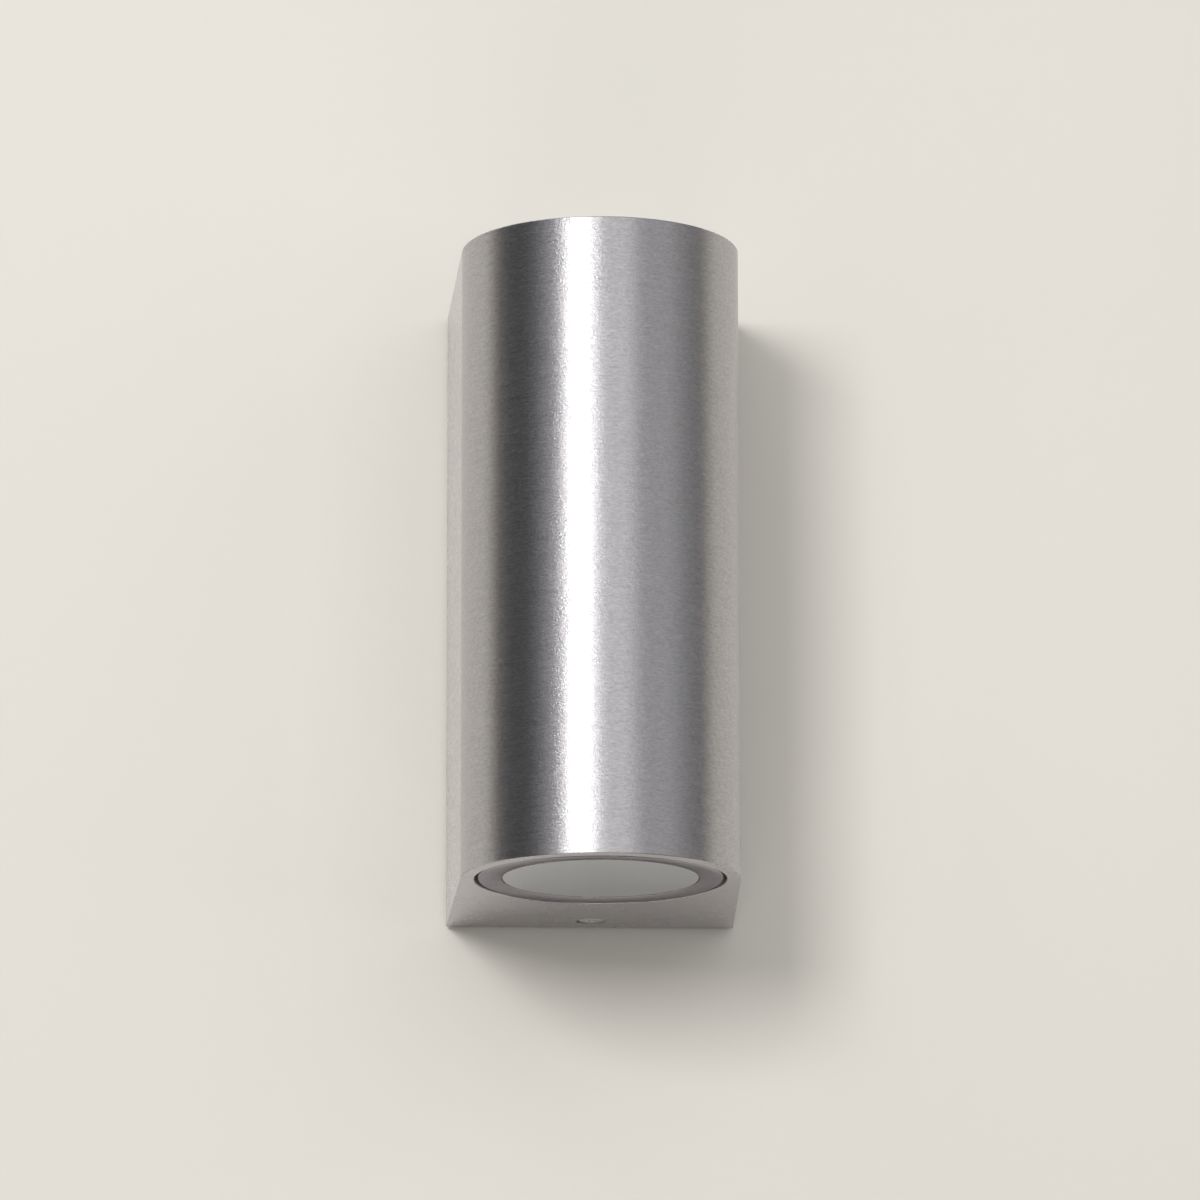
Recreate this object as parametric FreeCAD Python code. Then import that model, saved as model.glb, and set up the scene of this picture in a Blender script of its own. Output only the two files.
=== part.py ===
import FreeCAD, Part
import math
import os

# Tube wall light: a half-round cast housing that throws light up and down from two bayonet lamps.
# Each end is closed by a frosted glass under a screwed ring. The housing hangs over a bent steel
# wall bracket and is held to it by one screw through each end wall.
#
# Millimetres. The wall is the plane Y = 0 and the round front faces -Y; X is to the right, Z is up.
# The origin is on the wall at mid height. Both ends are alike: the upper set is modelled, and the
# lower set is the same set turned half a turn about Y, so threads and bayonets keep their hand.

V = FreeCAD.Vector
X_AXIS, Y_AXIS, Z_AXIS = V(1, 0, 0), V(0, 1, 0), V(0, 0, 1)

# Clearances
TURNING_GAP = 0.3        # between curved faces of pieces that move past each other
THREAD_GAP = 0.15        # radial, between the ring's thread and the housing's
SCREW_GAP = 0.05         # radial, between a screw and its tapped hole
SHANK_GAP = 0.2          # radial, between a screw and a plain hole

# Lamps: 50 mm reflector size, two mushroom pins
LAMP_RADIUS = 25.0
LAMP_LENGTH = 46.0       # face to shoulder
LAMP_RIM_HEIGHT = 4.0
LAMP_RIM_STEP = 1.4
LAMP_NECK_RADIUS = 15.0
LAMP_NECK_HEIGHT = 4.0
LAMP_BASE_RADIUS = 12.4
LAMP_BASE_HEIGHT = 10.0
LAMP_BASE_EDGE = 1.0
LAMP_LENS_RADIUS = 22.0
LAMP_LENS_THICKNESS = 2.0
LAMP_LENS_RECESS = 0.8
PIN_CIRCLE_RADIUS = 5.0
PIN_NECK_RADIUS = 1.5
PIN_HEAD_RADIUS = 2.5
PIN_HEAD_HEIGHT = 2.6
PIN_LENGTH = 7.0
PIN_ANGLE = 90.0         # of the first pin when locked, counted from +X
TWIST_ANGLE = 45.0       # from locked to released

# Lampholders and the bridge between them
BRIDGE_THICKNESS = 1.5
BRIDGE_BEND = 1.0        # inner radius
BRIDGE_HALF_WIDTH = 18.0
BRIDGE_MARGIN = 2.0      # of the plate in front of and behind the lampholders
WING_SIDE_GAP = 1.0      # between the bridge's wings and the side walls
HOLDER_HEIGHT = 15.5
HOLDER_FACE = 3.8        # thickness of the cap over the contact chambers
HOLDER_HALF_LENGTH = 16.5
HOLDER_HALF_WIDTH = 11.5
HOLDER_EDGE = 0.6
SHOULDER_GAP = 0.25      # between a lampholder and its lamp's shoulder
CHAMBER_DEPTH = 4.45     # under the cap, for the pin heads
CONTACT_SIZE = 3.6
CONTACT_GAP = 0.3
HOLDER_BOLT_OFFSET = 12.0
HOLDER_BOLT_RECESS = 2.4
HOLDER_BOLT_STUB = 0.3   # of bolt past its nut

# Fasteners, all of one thread
M3_RADIUS = 1.5
M3_HEAD_RADIUS = 2.75
M3_HEAD_HEIGHT = 2.0
HEAD_CROWN_SHARE = 0.35  # of a head's height, sloped off
M3_NUT_WIDTH = 5.5
M3_NUT_HEIGHT = 2.4
M3_THIN_NUT_HEIGHT = 1.8

# Lens stack. Depths count inwards from the end face.
LAMP_TO_GLASS = 6.5
LEDGE_CLEARANCE = 0.4    # round the lamp, where it passes the ledge
LEDGE_THICKNESS = 2.0
GLASS_SUPPORT = 1.2      # width of the glass's seat
GLASS_RIM_THICKNESS = 4.0
GLASS_FACE_DEPTH = 0.45
GLASS_STEP_GAP = 0.25    # between the raised glass and the ring's opening
GASKET_STEM = 1.5
GASKET_FOOT = 1.5
GASKET_EDGE = 0.1        # the gasket's bore stands back from the ledge's edge
RING_SKIRT = 1.1
RING_OVERHANG = 0.5      # of the flange past the thread
RING_FLANGE_THICKNESS = 1.5
RING_LIP_DEPTH = 2.0
RING_BEVEL = 0.5
RING_DISH = 0.3
RING_OPENING_RADIUS = 22.87
MOUTH_GAP = 0.7          # visible gap round the ring
FLANGE_GAP = 0.9         # behind the flange, so that the ring closes on the glass

# Housing
MOUTH_WALL = 3.24
SIDE_WALL = 3.0
END_WALL = 5.0
END_BOSS = 3.05          # wall round the thread where the end wall is thick
LAMP_AXIS_TO_WALL = 60.56
WALL_WIDTH = 68.5        # across the flat sides at the wall
EDGE_ROUND = 0.3
MOUTH_CHAMFER = 0.2
RIB_REACH = 9.0          # inwards from the side wall
RIB_HEIGHT = 9.0
RIB_BEHIND_AXIS = 20.5   # from the lamp axis back to the ribs' seat
RIB_HOLE_DEPTH = 9.0
RIB_SCREW_TIP_GAP = 1.5
WALL_GASKET_THICKNESS = 1.0
WALL_GASKET_INSET = 0.8
WALL_GASKET_WIDTH = 2.1

# Housing screws, one through each end wall
HOUSING_SCREW_TO_WALL = 8.6
HOUSING_SCREW_HEAD_RADIUS = 3.1
HOUSING_SCREW_HEAD_HEIGHT = 2.2
HOUSING_SCREW_SUNK = 0.1
HOUSING_SCREW_RECESS_RADIUS = 3.6

# Wall bracket
BRACKET_THICKNESS = 1.5
BRACKET_BEND = 1.0       # inner radius
BRACKET_SIDE_GAP = 9.0   # between its edges and the housing's side walls
BRACKET_END_GAP = 0.3
BRACKET_CORNER = 6.0
EAR_WIDTH = 16.0
EAR_MARGIN = 4.0         # of the ear past its screw
WALL_SLOT_SPACING = 90.0
WALL_SLOT_WIDTH = 4.5
WALL_SLOT_LENGTH = 10.0
SCREW_STUB = 1.0         # of housing screw past its nut

# Cable inlet
INLET_Z = -20.0
BUSH_BORE_RADIUS = 4.5
BUSH_WALL = 1.6
BUSH_LENGTH = 6.0
BUSH_FLANGE = 2.6        # radial
BUSH_FLANGE_THICKNESS = 1.5

# Terminal block: three poles side by side, wires along Z
POLE_PITCH = 10.0
BLOCK_BOTTOM_Z = 13.0
BLOCK_LENGTH = 17.0
BLOCK_HEIGHT = 14.0      # out from the bracket
BARREL_RADIUS = 4.3
BARREL_AXIS_HEIGHT = 6.0
TOWER_RADIUS = 3.1
TOWER_OFFSET = 4.6       # of the screw towers from the block's middle
WEB_HEIGHT = 5.0         # between the poles
WIRE_MOUTH_RADIUS = 2.4
INSERT_RADIUS = 3.2
INSERT_BORE_RADIUS = 1.5
INSERT_LENGTH = 13.0
INSERT_GAP = 0.05
TERMINAL_SCREW_RADIUS = 1.5
TERMINAL_SCREW_SUNK = 1.6
FOOT_HEIGHT = 4.0        # of the block's feet, outside its outer poles
FOOT_RADIUS = 3.6
FOOT_SCREW_TIP_GAP = 0.2

# Leads
LEAD_RADIUS = 1.1
LEAD_OFFSET = 3.8        # to each side of the lampholder's middle
LEAD_HEIGHT = 4.4        # from mid height
LEAD_PAIR_OFFSET = 1.15  # of two leads in one terminal, from its middle
LEAD_BEND_SHARE = 0.45   # of the shorter run, taken up by each bend
LEAD_EXIT = 8.0          # straight run out of a lampholder
LEAD_CROSSING = 13.0     # from that run's end to the first turn towards the pole
LEAD_APPROACH = 7.0      # from the last turn to the pole's axis
UPPER_LEAD_LOW_Z = 1.0   # where an upper lead's dip begins
UPPER_LEAD_RISE_Z = 1.5
UPPER_LEAD_ENTRY_Z = 8.0
LOWER_LEAD_LOW_Z = -5.5
LOWER_LEAD_RISE_Z = -2.5
LOWER_LEAD_ENTRY_Z = 6.0
EARTH_LEAD_EXIT = 7.0    # straight run out of the earth tag
EARTH_LEAD_TURN = 11.2   # across, from the tag to the turn towards the wall
EARTH_LEAD_DROP = 4.9    # towards the wall, where that turn starts
EARTH_LEAD_REACH = 14.5  # towards the wall, where it ends
EARTH_LEAD_APPROACH = 6.0
EARTH_LEAD_RISE_Z = -1.5
EARTH_LEAD_ENTRY_Z = 6.5
TAG_THICKNESS = 0.6
TAG_RADIUS = 3.4
TAG_NECK_WIDTH = 2.4
TAG_BARREL_RADIUS = 1.7
TAG_BARREL_LENGTH = 4.5
TAG_BARREL_BORE_DEPTH = 3.0
TAG_LEAD_LIFT = 1.0      # of the lead's middle from the tab's back face
TAG_TAB_GAP = 0.6        # between the barrel and the tab's edge

# Sizes that follow
LEDGE_RADIUS = LAMP_RADIUS + LEDGE_CLEARANCE
GLASS_RADIUS = LEDGE_RADIUS + GLASS_SUPPORT
SKIRT_INNER_RADIUS = GLASS_RADIUS + TURNING_GAP
RING_THREAD_RADIUS = SKIRT_INNER_RADIUS + RING_SKIRT
RING_RADIUS = RING_THREAD_RADIUS + RING_OVERHANG
THREAD_BORE_RADIUS = RING_THREAD_RADIUS + THREAD_GAP
MOUTH_RADIUS = RING_RADIUS + MOUTH_GAP
FRONT_RADIUS = MOUTH_RADIUS + MOUTH_WALL

GLASS_BACK_DEPTH = RING_LIP_DEPTH + GLASS_RIM_THICKNESS
FOOT_DEPTH = GLASS_BACK_DEPTH + GASKET_STEM
LEDGE_DEPTH = FOOT_DEPTH + GASKET_FOOT
SKIRT_DEPTH = FOOT_DEPTH - TURNING_GAP
MOUTH_DEPTH = RING_FLANGE_THICKNESS + FLANGE_GAP
BOSS_DEPTH = LEDGE_DEPTH + LEDGE_THICKNESS

HOLDER_BASE_Z = BRIDGE_THICKNESS / 2
HOLDER_TOP_Z = HOLDER_BASE_Z + HOLDER_HEIGHT
CAP_BASE_Z = HOLDER_TOP_Z - HOLDER_FACE
SHOULDER_Z = HOLDER_TOP_Z + SHOULDER_GAP
LAMP_FACE_Z = SHOULDER_Z + LAMP_LENGTH
HALF_HEIGHT = LAMP_FACE_Z + LAMP_TO_GLASS + GLASS_BACK_DEPTH

AXIS_Y = -LAMP_AXIS_TO_WALL
BACK_Y = -WALL_GASKET_THICKNESS
LAMP_CENTRE = V(0, AXIS_Y, 0)


def side_angle():
    """Angle from +X of the point where the right flat side leaves the round front."""
    corner = V(WALL_WIDTH / 2, -AXIS_Y, 0)
    return math.atan2(corner.y, corner.x) - math.acos(FRONT_RADIUS / corner.Length)


def half_width(y, inset):
    """Half the width of the housing's outline at y, drawn in by inset."""
    angle = side_angle()
    return (FRONT_RADIUS - inset - (y - AXIS_Y) * math.sin(angle)) / math.cos(angle)


def outline(inset, back_y, z_low, z_high):
    """Upright prism of the housing's outline: a round front with a tangent flat side at each end."""
    radius = FRONT_RADIUS - inset
    angle = side_angle()
    right = LAMP_CENTRE + V(radius * math.cos(angle), radius * math.sin(angle), 0)
    left = V(-right.x, right.y, 0)
    back_right = V(half_width(back_y, inset), back_y, 0)
    back_left = V(-back_right.x, back_y, 0)
    edges = [
        Part.Arc(left, LAMP_CENTRE - V(0, radius, 0), right).toShape(),
        Part.LineSegment(right, back_right).toShape(),
        Part.LineSegment(back_right, back_left).toShape(),
        Part.LineSegment(back_left, left).toShape(),
    ]
    prism = Part.Face(Part.Wire(edges)).extrude(V(0, 0, z_high - z_low))
    prism.translate(V(0, 0, z_low))
    return prism


def lathe(profile, centre=LAMP_CENTRE, axis=Z_AXIS):
    """Solid turned from (radius, height) points about an axis through centre."""
    spin = FreeCAD.Placement(centre, FreeCAD.Rotation(Z_AXIS, axis))
    points = [V(radius, 0, height) for radius, height in profile]
    solid = Part.Face(Part.makePolygon(points + points[:1])).revolve(V(0, 0, 0), Z_AXIS, 360)
    solid.Placement = spin
    return solid


def rod(radius, start, direction, length):
    """Cylinder from start along direction."""
    return Part.makeCylinder(radius, length, start, direction)


def box_between(low, high):
    """Box between two corners."""
    size = high - low
    return Part.makeBox(size.x, size.y, size.z, low)


def fused(shapes):
    """One clean solid from overlapping or touching shapes."""
    return shapes[0].multiFuse(shapes[1:]).removeSplitter()


def turned_over(shape):
    """Copy for the lower end: half a turn about Y."""
    copy = shape.copy()
    copy.rotate(V(0, 0, 0), Y_AXIS, 180)
    return copy


def arc_slot(radius, half_slot, start_deg, end_deg, z_low, height):
    """Prism of a slot that follows an arc about the lamp axis, with round ends."""
    def at(distance, degrees):
        turn = math.radians(degrees)
        return LAMP_CENTRE + V(distance * math.cos(turn), distance * math.sin(turn), z_low)

    middle = (start_deg + end_deg) / 2
    cap = math.degrees(half_slot / radius)
    inner, outer = radius - half_slot, radius + half_slot
    end_tip = at(radius, end_deg) + (at(radius, end_deg + 90) - at(0, 0)) * (half_slot / radius)
    start_tip = at(radius, start_deg) + (at(radius, start_deg - 90) - at(0, 0)) * (half_slot / radius)
    edges = [
        Part.Arc(at(outer, start_deg), at(outer, middle), at(outer, end_deg)).toShape(),
        Part.Arc(at(outer, end_deg), end_tip, at(inner, end_deg)).toShape(),
        Part.Arc(at(inner, end_deg), at(inner, middle), at(inner, start_deg)).toShape(),
        Part.Arc(at(inner, start_deg), start_tip, at(outer, start_deg)).toShape(),
    ]
    return Part.Face(Part.Wire(edges)).extrude(V(0, 0, height))


def bent_strip(start, along, fold, flat, reach, thickness, bend, width):
    """Sheet strip with one square bend. It runs flat from start along one way, then folds the other
    way. The start lies on the strip's outer face, at the middle of its width."""
    outer = bend + thickness
    turn = start + along * (flat - outer) + fold * outer
    diagonal = (along - fold) * math.sqrt(0.5)
    corners = [
        start,
        start + along * (flat - outer),
        start + along * flat + fold * outer,
        start + along * flat + fold * reach,
        start + along * (flat - thickness) + fold * reach,
        start + along * (flat - thickness) + fold * outer,
        start + along * (flat - outer) + fold * thickness,
        start + fold * thickness,
    ]
    edges = []
    for index, corner in enumerate(corners):
        following = corners[(index + 1) % len(corners)]
        if index == 1:
            edges.append(Part.Arc(corner, turn + diagonal * outer, following).toShape())
        elif index == 5:
            edges.append(Part.Arc(corner, turn + diagonal * bend, following).toShape())
        else:
            edges.append(Part.LineSegment(corner, following).toShape())
    across = along.cross(fold)
    strip = Part.Face(Part.Wire(edges)).extrude(across * width)
    strip.translate(across * (-width / 2))
    return strip


def pan_screw(seat, into, length, head_radius=M3_HEAD_RADIUS, head_height=M3_HEAD_HEIGHT):
    """Screw whose head sits on the point seat, with its shank of the given length going in."""
    crown = head_height * HEAD_CROWN_SHARE
    profile = [
        (0, -head_height),
        (head_radius - crown, -head_height),
        (head_radius, crown - head_height),
        (head_radius, 0),
        (M3_RADIUS, 0),
        (M3_RADIUS, length),
        (0, length),
    ]
    return lathe(profile, seat, into)


def hex_nut(seat, away, height=M3_NUT_HEIGHT):
    """Nut that lies on the point seat and stands away from it."""
    corner_radius = M3_NUT_WIDTH / math.sqrt(3)
    corners = []
    for step in range(6):
        turn = math.radians(60 * step)
        corners.append(V(corner_radius * math.cos(turn), corner_radius * math.sin(turn), 0))
    nut = Part.Face(Part.makePolygon(corners + corners[:1])).extrude(V(0, 0, height))
    nut = nut.cut(rod(M3_RADIUS + SCREW_GAP, V(0, 0, -1), Z_AXIS, height + 2))
    nut.Placement = FreeCAD.Placement(seat, FreeCAD.Rotation(Z_AXIS, away))
    return nut


# ---------------------------------------------------------------- housing

RIB_SEAT_Y = AXIS_Y + RIB_BEHIND_AXIS
RIB_TOP_Z = -BRIDGE_THICKNESS / 2
RIB_INNER_X = half_width(RIB_SEAT_Y, SIDE_WALL) - RIB_REACH
RIB_SCREW_X = RIB_INNER_X + RIB_REACH / 2
RIB_SCREW_Z = RIB_TOP_Z - RIB_HEIGHT / 2
HOUSING_SCREW_SEAT = HOUSING_SCREW_SUNK + HOUSING_SCREW_HEAD_HEIGHT


def housing():
    """Cast body, open at the back, with a threaded lens seat in each thick end wall."""
    body = outline(0, BACK_Y, -HALF_HEIGHT, HALF_HEIGHT)
    rims = []
    for edge in body.Edges:
        middle = edge.valueAt((edge.FirstParameter + edge.LastParameter) / 2)
        on_end = abs(abs(middle.z) - HALF_HEIGHT) < 0.01
        if on_end and middle.y < BACK_Y - 1:
            rims.append(edge)
    body = body.makeFillet(EDGE_ROUND, rims)
    cavity = outline(SIDE_WALL, 0, END_WALL - HALF_HEIGHT, HALF_HEIGHT - END_WALL)
    kept = [rib(side) for side in (1, -1)]
    cuts = []
    for end in (1, -1):
        outward = V(0, 0, end)
        face = LAMP_CENTRE + outward * HALF_HEIGHT
        boss_radius = THREAD_BORE_RADIUS + END_BOSS
        kept.append(rod(boss_radius, face - outward * BOSS_DEPTH, outward, BOSS_DEPTH))
        cuts.append(lens_seat(face, outward))
        screw = V(0, -HOUSING_SCREW_TO_WALL, end * HALF_HEIGHT)
        cuts.append(rod(M3_RADIUS + SHANK_GAP, screw, -outward, END_WALL + 1))
        cuts.append(rod(HOUSING_SCREW_RECESS_RADIUS, screw, -outward, HOUSING_SCREW_SEAT))
    body = body.cut(cavity.cut(fused(kept)))
    return body.cut(cuts).removeSplitter()


def lens_seat(face, outward):
    """The space turned out of an end wall: mouth, thread bore and the opening in the ledge."""
    profile = [
        (0, 1),
        (MOUTH_RADIUS + MOUTH_CHAMFER, 1),
        (MOUTH_RADIUS + MOUTH_CHAMFER, 0),
        (MOUTH_RADIUS, -MOUTH_CHAMFER),
        (MOUTH_RADIUS, -MOUTH_DEPTH),
        (THREAD_BORE_RADIUS, -MOUTH_DEPTH),
        (THREAD_BORE_RADIUS, -LEDGE_DEPTH),
        (LEDGE_RADIUS, -LEDGE_DEPTH),
        (LEDGE_RADIUS, -BOSS_DEPTH - 1),
        (0, -BOSS_DEPTH - 1),
    ]
    return lathe(profile, face, outward)


def rib(side):
    """Rib from the side wall to the round front. The bridge seats on its top and back."""
    low_z = RIB_TOP_Z - RIB_HEIGHT
    block = box_between(
        V(RIB_INNER_X, AXIS_Y - FRONT_RADIUS, low_z),
        V(WALL_WIDTH, RIB_SEAT_Y, RIB_TOP_Z),
    )
    corner = Part.Face(
        Part.makePolygon(
            [
                V(0, RIB_SEAT_Y - BRIDGE_BEND, RIB_TOP_Z),
                V(0, RIB_SEAT_Y, RIB_TOP_Z),
                V(0, RIB_SEAT_Y, RIB_TOP_Z - BRIDGE_BEND),
                V(0, RIB_SEAT_Y - BRIDGE_BEND, RIB_TOP_Z),
            ]
        )
    ).extrude(V(WALL_WIDTH, 0, 0))
    screw_hole = rod(
        M3_RADIUS + SCREW_GAP, V(RIB_SCREW_X, RIB_SEAT_Y, RIB_SCREW_Z), -Y_AXIS, RIB_HOLE_DEPTH
    )
    block = block.cut([corner, screw_hole])
    if side < 0:
        block = block.mirror(V(0, 0, 0), X_AXIS)
    return block


def wall_gasket():
    """Foam strip between the housing's rim and the wall."""
    low, high = WALL_GASKET_INSET - HALF_HEIGHT, HALF_HEIGHT - WALL_GASKET_INSET
    inner = WALL_GASKET_INSET + WALL_GASKET_WIDTH
    inner_high = HALF_HEIGHT - inner
    half_outer = half_width(BACK_Y, WALL_GASKET_INSET)
    half_inner = half_width(BACK_Y, inner)
    strip = box_between(V(-half_outer, BACK_Y, low), V(half_outer, 0, high))
    window = box_between(V(-half_inner, BACK_Y, -inner_high), V(half_inner, 0, inner_high))
    return strip.cut(window)


# ---------------------------------------------------------------- wall bracket

EAR_FACE_Z = HALF_HEIGHT - END_WALL - BRACKET_END_GAP
EAR_INNER_Z = EAR_FACE_Z - BRACKET_THICKNESS
EAR_REACH = HOUSING_SCREW_TO_WALL + EAR_MARGIN
BUSH_OUTER_RADIUS = BUSH_BORE_RADIUS + BUSH_WALL
BLOCK_MIDDLE_Z = BLOCK_BOTTOM_Z + BLOCK_LENGTH / 2
FOOT_X = POLE_PITCH + BARREL_RADIUS + M3_HEAD_RADIUS + TURNING_GAP


def wall_bracket():
    """Sheet steel plate with an ear folded forward at each end for the housing screws."""
    half = half_width(BACK_Y, SIDE_WALL) - BRACKET_SIDE_GAP
    flat_end = EAR_FACE_Z - BRACKET_THICKNESS - BRACKET_BEND
    plate = box_between(V(-half, -BRACKET_THICKNESS, -flat_end), V(half, 0, flat_end))
    corners = [edge for edge in plate.Edges if abs(edge.tangentAt(0).y) > 0.9]
    plate = plate.makeFillet(BRACKET_CORNER, corners)
    ears = []
    cuts = [rod(BUSH_OUTER_RADIUS, V(0, 0, INLET_Z), -Y_AXIS, BRACKET_THICKNESS)]
    for end in (1, -1):
        outward = V(0, 0, end)
        ears.append(
            bent_strip(
                outward * (flat_end - BRACKET_CORNER),
                outward,
                -Y_AXIS,
                EAR_FACE_Z - flat_end + BRACKET_CORNER,
                EAR_REACH,
                BRACKET_THICKNESS,
                BRACKET_BEND,
                EAR_WIDTH,
            )
        )
        hole = V(0, -HOUSING_SCREW_TO_WALL, end * EAR_FACE_Z)
        cuts.append(rod(M3_RADIUS + SHANK_GAP, hole, -outward, BRACKET_THICKNESS))
        cuts.append(wall_slot(end * WALL_SLOT_SPACING / 2))
        fixing = V(end * FOOT_X, 0, BLOCK_MIDDLE_Z)
        cuts.append(rod(M3_RADIUS + SCREW_GAP, fixing, -Y_AXIS, BRACKET_THICKNESS))
    return fused([plate] + ears).cut(cuts)


def wall_slot(middle_z):
    """Upright slot for one wall screw."""
    half_run = (WALL_SLOT_LENGTH - WALL_SLOT_WIDTH) / 2
    radius = WALL_SLOT_WIDTH / 2
    run = box_between(
        V(-radius, -BRACKET_THICKNESS, middle_z - half_run), V(radius, 0, middle_z + half_run)
    )
    ends = [
        rod(radius, V(0, 0, middle_z + side * half_run), -Y_AXIS, BRACKET_THICKNESS)
        for side in (1, -1)
    ]
    return fused([run] + ends)


def bracket_nuts():
    """Nuts welded inside the ears."""
    seat = V(0, -HOUSING_SCREW_TO_WALL, EAR_INNER_Z)
    upper = hex_nut(seat, -Z_AXIS)
    return [upper, turned_over(upper)]


def housing_screws():
    """Pan head screws sunk in the end walls."""
    seat_z = HALF_HEIGHT - HOUSING_SCREW_SEAT
    length = seat_z - EAR_INNER_Z + M3_NUT_HEIGHT + SCREW_STUB
    upper = pan_screw(
        V(0, -HOUSING_SCREW_TO_WALL, seat_z),
        -Z_AXIS,
        length,
        HOUSING_SCREW_HEAD_RADIUS,
        HOUSING_SCREW_HEAD_HEIGHT,
    )
    return [upper, turned_over(upper)]


def cable_bush():
    """Rubber bush that guards the supply cable at the bracket's inlet hole."""
    profile = [
        (BUSH_BORE_RADIUS, 0),
        (BUSH_OUTER_RADIUS, 0),
        (BUSH_OUTER_RADIUS, BRACKET_THICKNESS),
        (BUSH_OUTER_RADIUS + BUSH_FLANGE, BRACKET_THICKNESS),
        (BUSH_OUTER_RADIUS + BUSH_FLANGE, BRACKET_THICKNESS + BUSH_FLANGE_THICKNESS),
        (BUSH_OUTER_RADIUS, BRACKET_THICKNESS + BUSH_FLANGE_THICKNESS),
        (BUSH_OUTER_RADIUS, BUSH_LENGTH),
        (BUSH_BORE_RADIUS, BUSH_LENGTH),
    ]
    return lathe(profile, V(0, 0, INLET_Z), -Y_AXIS)


# ---------------------------------------------------------------- terminal block

BARREL_Y = -BRACKET_THICKNESS - BARREL_AXIS_HEIGHT
BLOCK_FRONT_Y = -BRACKET_THICKNESS - BLOCK_HEIGHT
BLOCK_TOP_Z = BLOCK_BOTTOM_Z + BLOCK_LENGTH
INSERT_BOTTOM_Z = BLOCK_MIDDLE_Z - INSERT_LENGTH / 2
WEB_FRONT_Y = -BRACKET_THICKNESS - WEB_HEIGHT
FOOT_FRONT_Y = -BRACKET_THICKNESS - FOOT_HEIGHT
POLE_XS = [-POLE_PITCH, 0, POLE_PITCH]


def terminal_screw_seats():
    """Where the terminal screws' axes cross the barrels, two to a pole."""
    return [
        V(x, BARREL_Y, BLOCK_MIDDLE_Z + side * TOWER_OFFSET) for x in POLE_XS for side in (1, -1)
    ]


def terminal_block():
    """Three-pole strip: a barrel for each pole with two screw towers, webs between and a foot at
    each side."""
    web_end = (BLOCK_LENGTH - BARREL_RADIUS) / 2
    solids = [
        box_between(
            V(POLE_XS[0], WEB_FRONT_Y, BLOCK_MIDDLE_Z - web_end),
            V(POLE_XS[-1], -BRACKET_THICKNESS, BLOCK_MIDDLE_Z + web_end),
        )
    ]
    cuts = []
    for x in POLE_XS:
        bottom = V(x, BARREL_Y, BLOCK_BOTTOM_Z)
        solids.append(rod(BARREL_RADIUS, bottom, Z_AXIS, BLOCK_LENGTH))
        solids.append(
            box_between(
                V(x - BARREL_RADIUS / 2, BARREL_Y, BLOCK_BOTTOM_Z),
                V(x + BARREL_RADIUS / 2, -BRACKET_THICKNESS, BLOCK_TOP_Z),
            )
        )
        cuts.append(rod(WIRE_MOUTH_RADIUS, bottom, Z_AXIS, BLOCK_LENGTH))
        insert_low = V(x, BARREL_Y, INSERT_BOTTOM_Z - INSERT_GAP)
        cuts.append(rod(INSERT_RADIUS + INSERT_GAP, insert_low, Z_AXIS, INSERT_LENGTH + 2 * INSERT_GAP))
    tower_length = BARREL_Y - BLOCK_FRONT_Y
    for seat in terminal_screw_seats():
        solids.append(rod(TOWER_RADIUS, seat, -Y_AXIS, tower_length))
        cuts.append(rod(TERMINAL_SCREW_RADIUS + SHANK_GAP, seat, -Y_AXIS, tower_length))
    for side in (1, -1):
        foot = V(side * FOOT_X, -BRACKET_THICKNESS, BLOCK_MIDDLE_Z)
        solids.append(rod(FOOT_RADIUS, foot, -Y_AXIS, FOOT_HEIGHT))
        cuts.append(rod(M3_RADIUS + SHANK_GAP, foot, -Y_AXIS, FOOT_HEIGHT))
    solids.append(
        box_between(
            V(-FOOT_X, FOOT_FRONT_Y, BLOCK_MIDDLE_Z - FOOT_RADIUS),
            V(FOOT_X, -BRACKET_THICKNESS, BLOCK_MIDDLE_Z + FOOT_RADIUS),
        )
    )
    return fused(solids).cut(cuts)


def terminal_inserts():
    """Brass tubes inside the poles, tapped for the terminal screws."""
    holes = [
        rod(TERMINAL_SCREW_RADIUS + SCREW_GAP, seat, -Y_AXIS, INSERT_RADIUS + 1)
        for seat in terminal_screw_seats()
    ]
    inserts = []
    for x in POLE_XS:
        bottom = V(x, BARREL_Y, INSERT_BOTTOM_Z)
        tube = rod(INSERT_RADIUS, bottom, Z_AXIS, INSERT_LENGTH)
        inserts.append(tube.cut([rod(INSERT_BORE_RADIUS, bottom, Z_AXIS, INSERT_LENGTH)] + holes))
    return inserts


def terminal_screws():
    """Clamping screws, sunk in their towers."""
    tip = INSERT_BORE_RADIUS + SHANK_GAP
    length = BARREL_Y - BLOCK_FRONT_Y - TERMINAL_SCREW_SUNK - tip
    return [
        rod(TERMINAL_SCREW_RADIUS, seat - Y_AXIS * tip, -Y_AXIS, length)
        for seat in terminal_screw_seats()
    ]


def block_screws():
    """Screws that hold the block's feet to the bracket."""
    length = FOOT_HEIGHT + BRACKET_THICKNESS - FOOT_SCREW_TIP_GAP
    return [
        pan_screw(V(side * FOOT_X, FOOT_FRONT_Y, BLOCK_MIDDLE_Z), Y_AXIS, length)
        for side in (1, -1)
    ]


# ---------------------------------------------------------------- bridge and lampholders

TAB_BACK_Y = RIB_SEAT_Y + BRIDGE_THICKNESS
TAB_BOTTOM_Z = RIB_TOP_Z - RIB_HEIGHT


def holder_bolt_places():
    """Centres of the two bolts through both lampholders, at mid height."""
    return [LAMP_CENTRE + V(side * HOLDER_BOLT_OFFSET, 0, 0) for side in (1, -1)]


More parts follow.
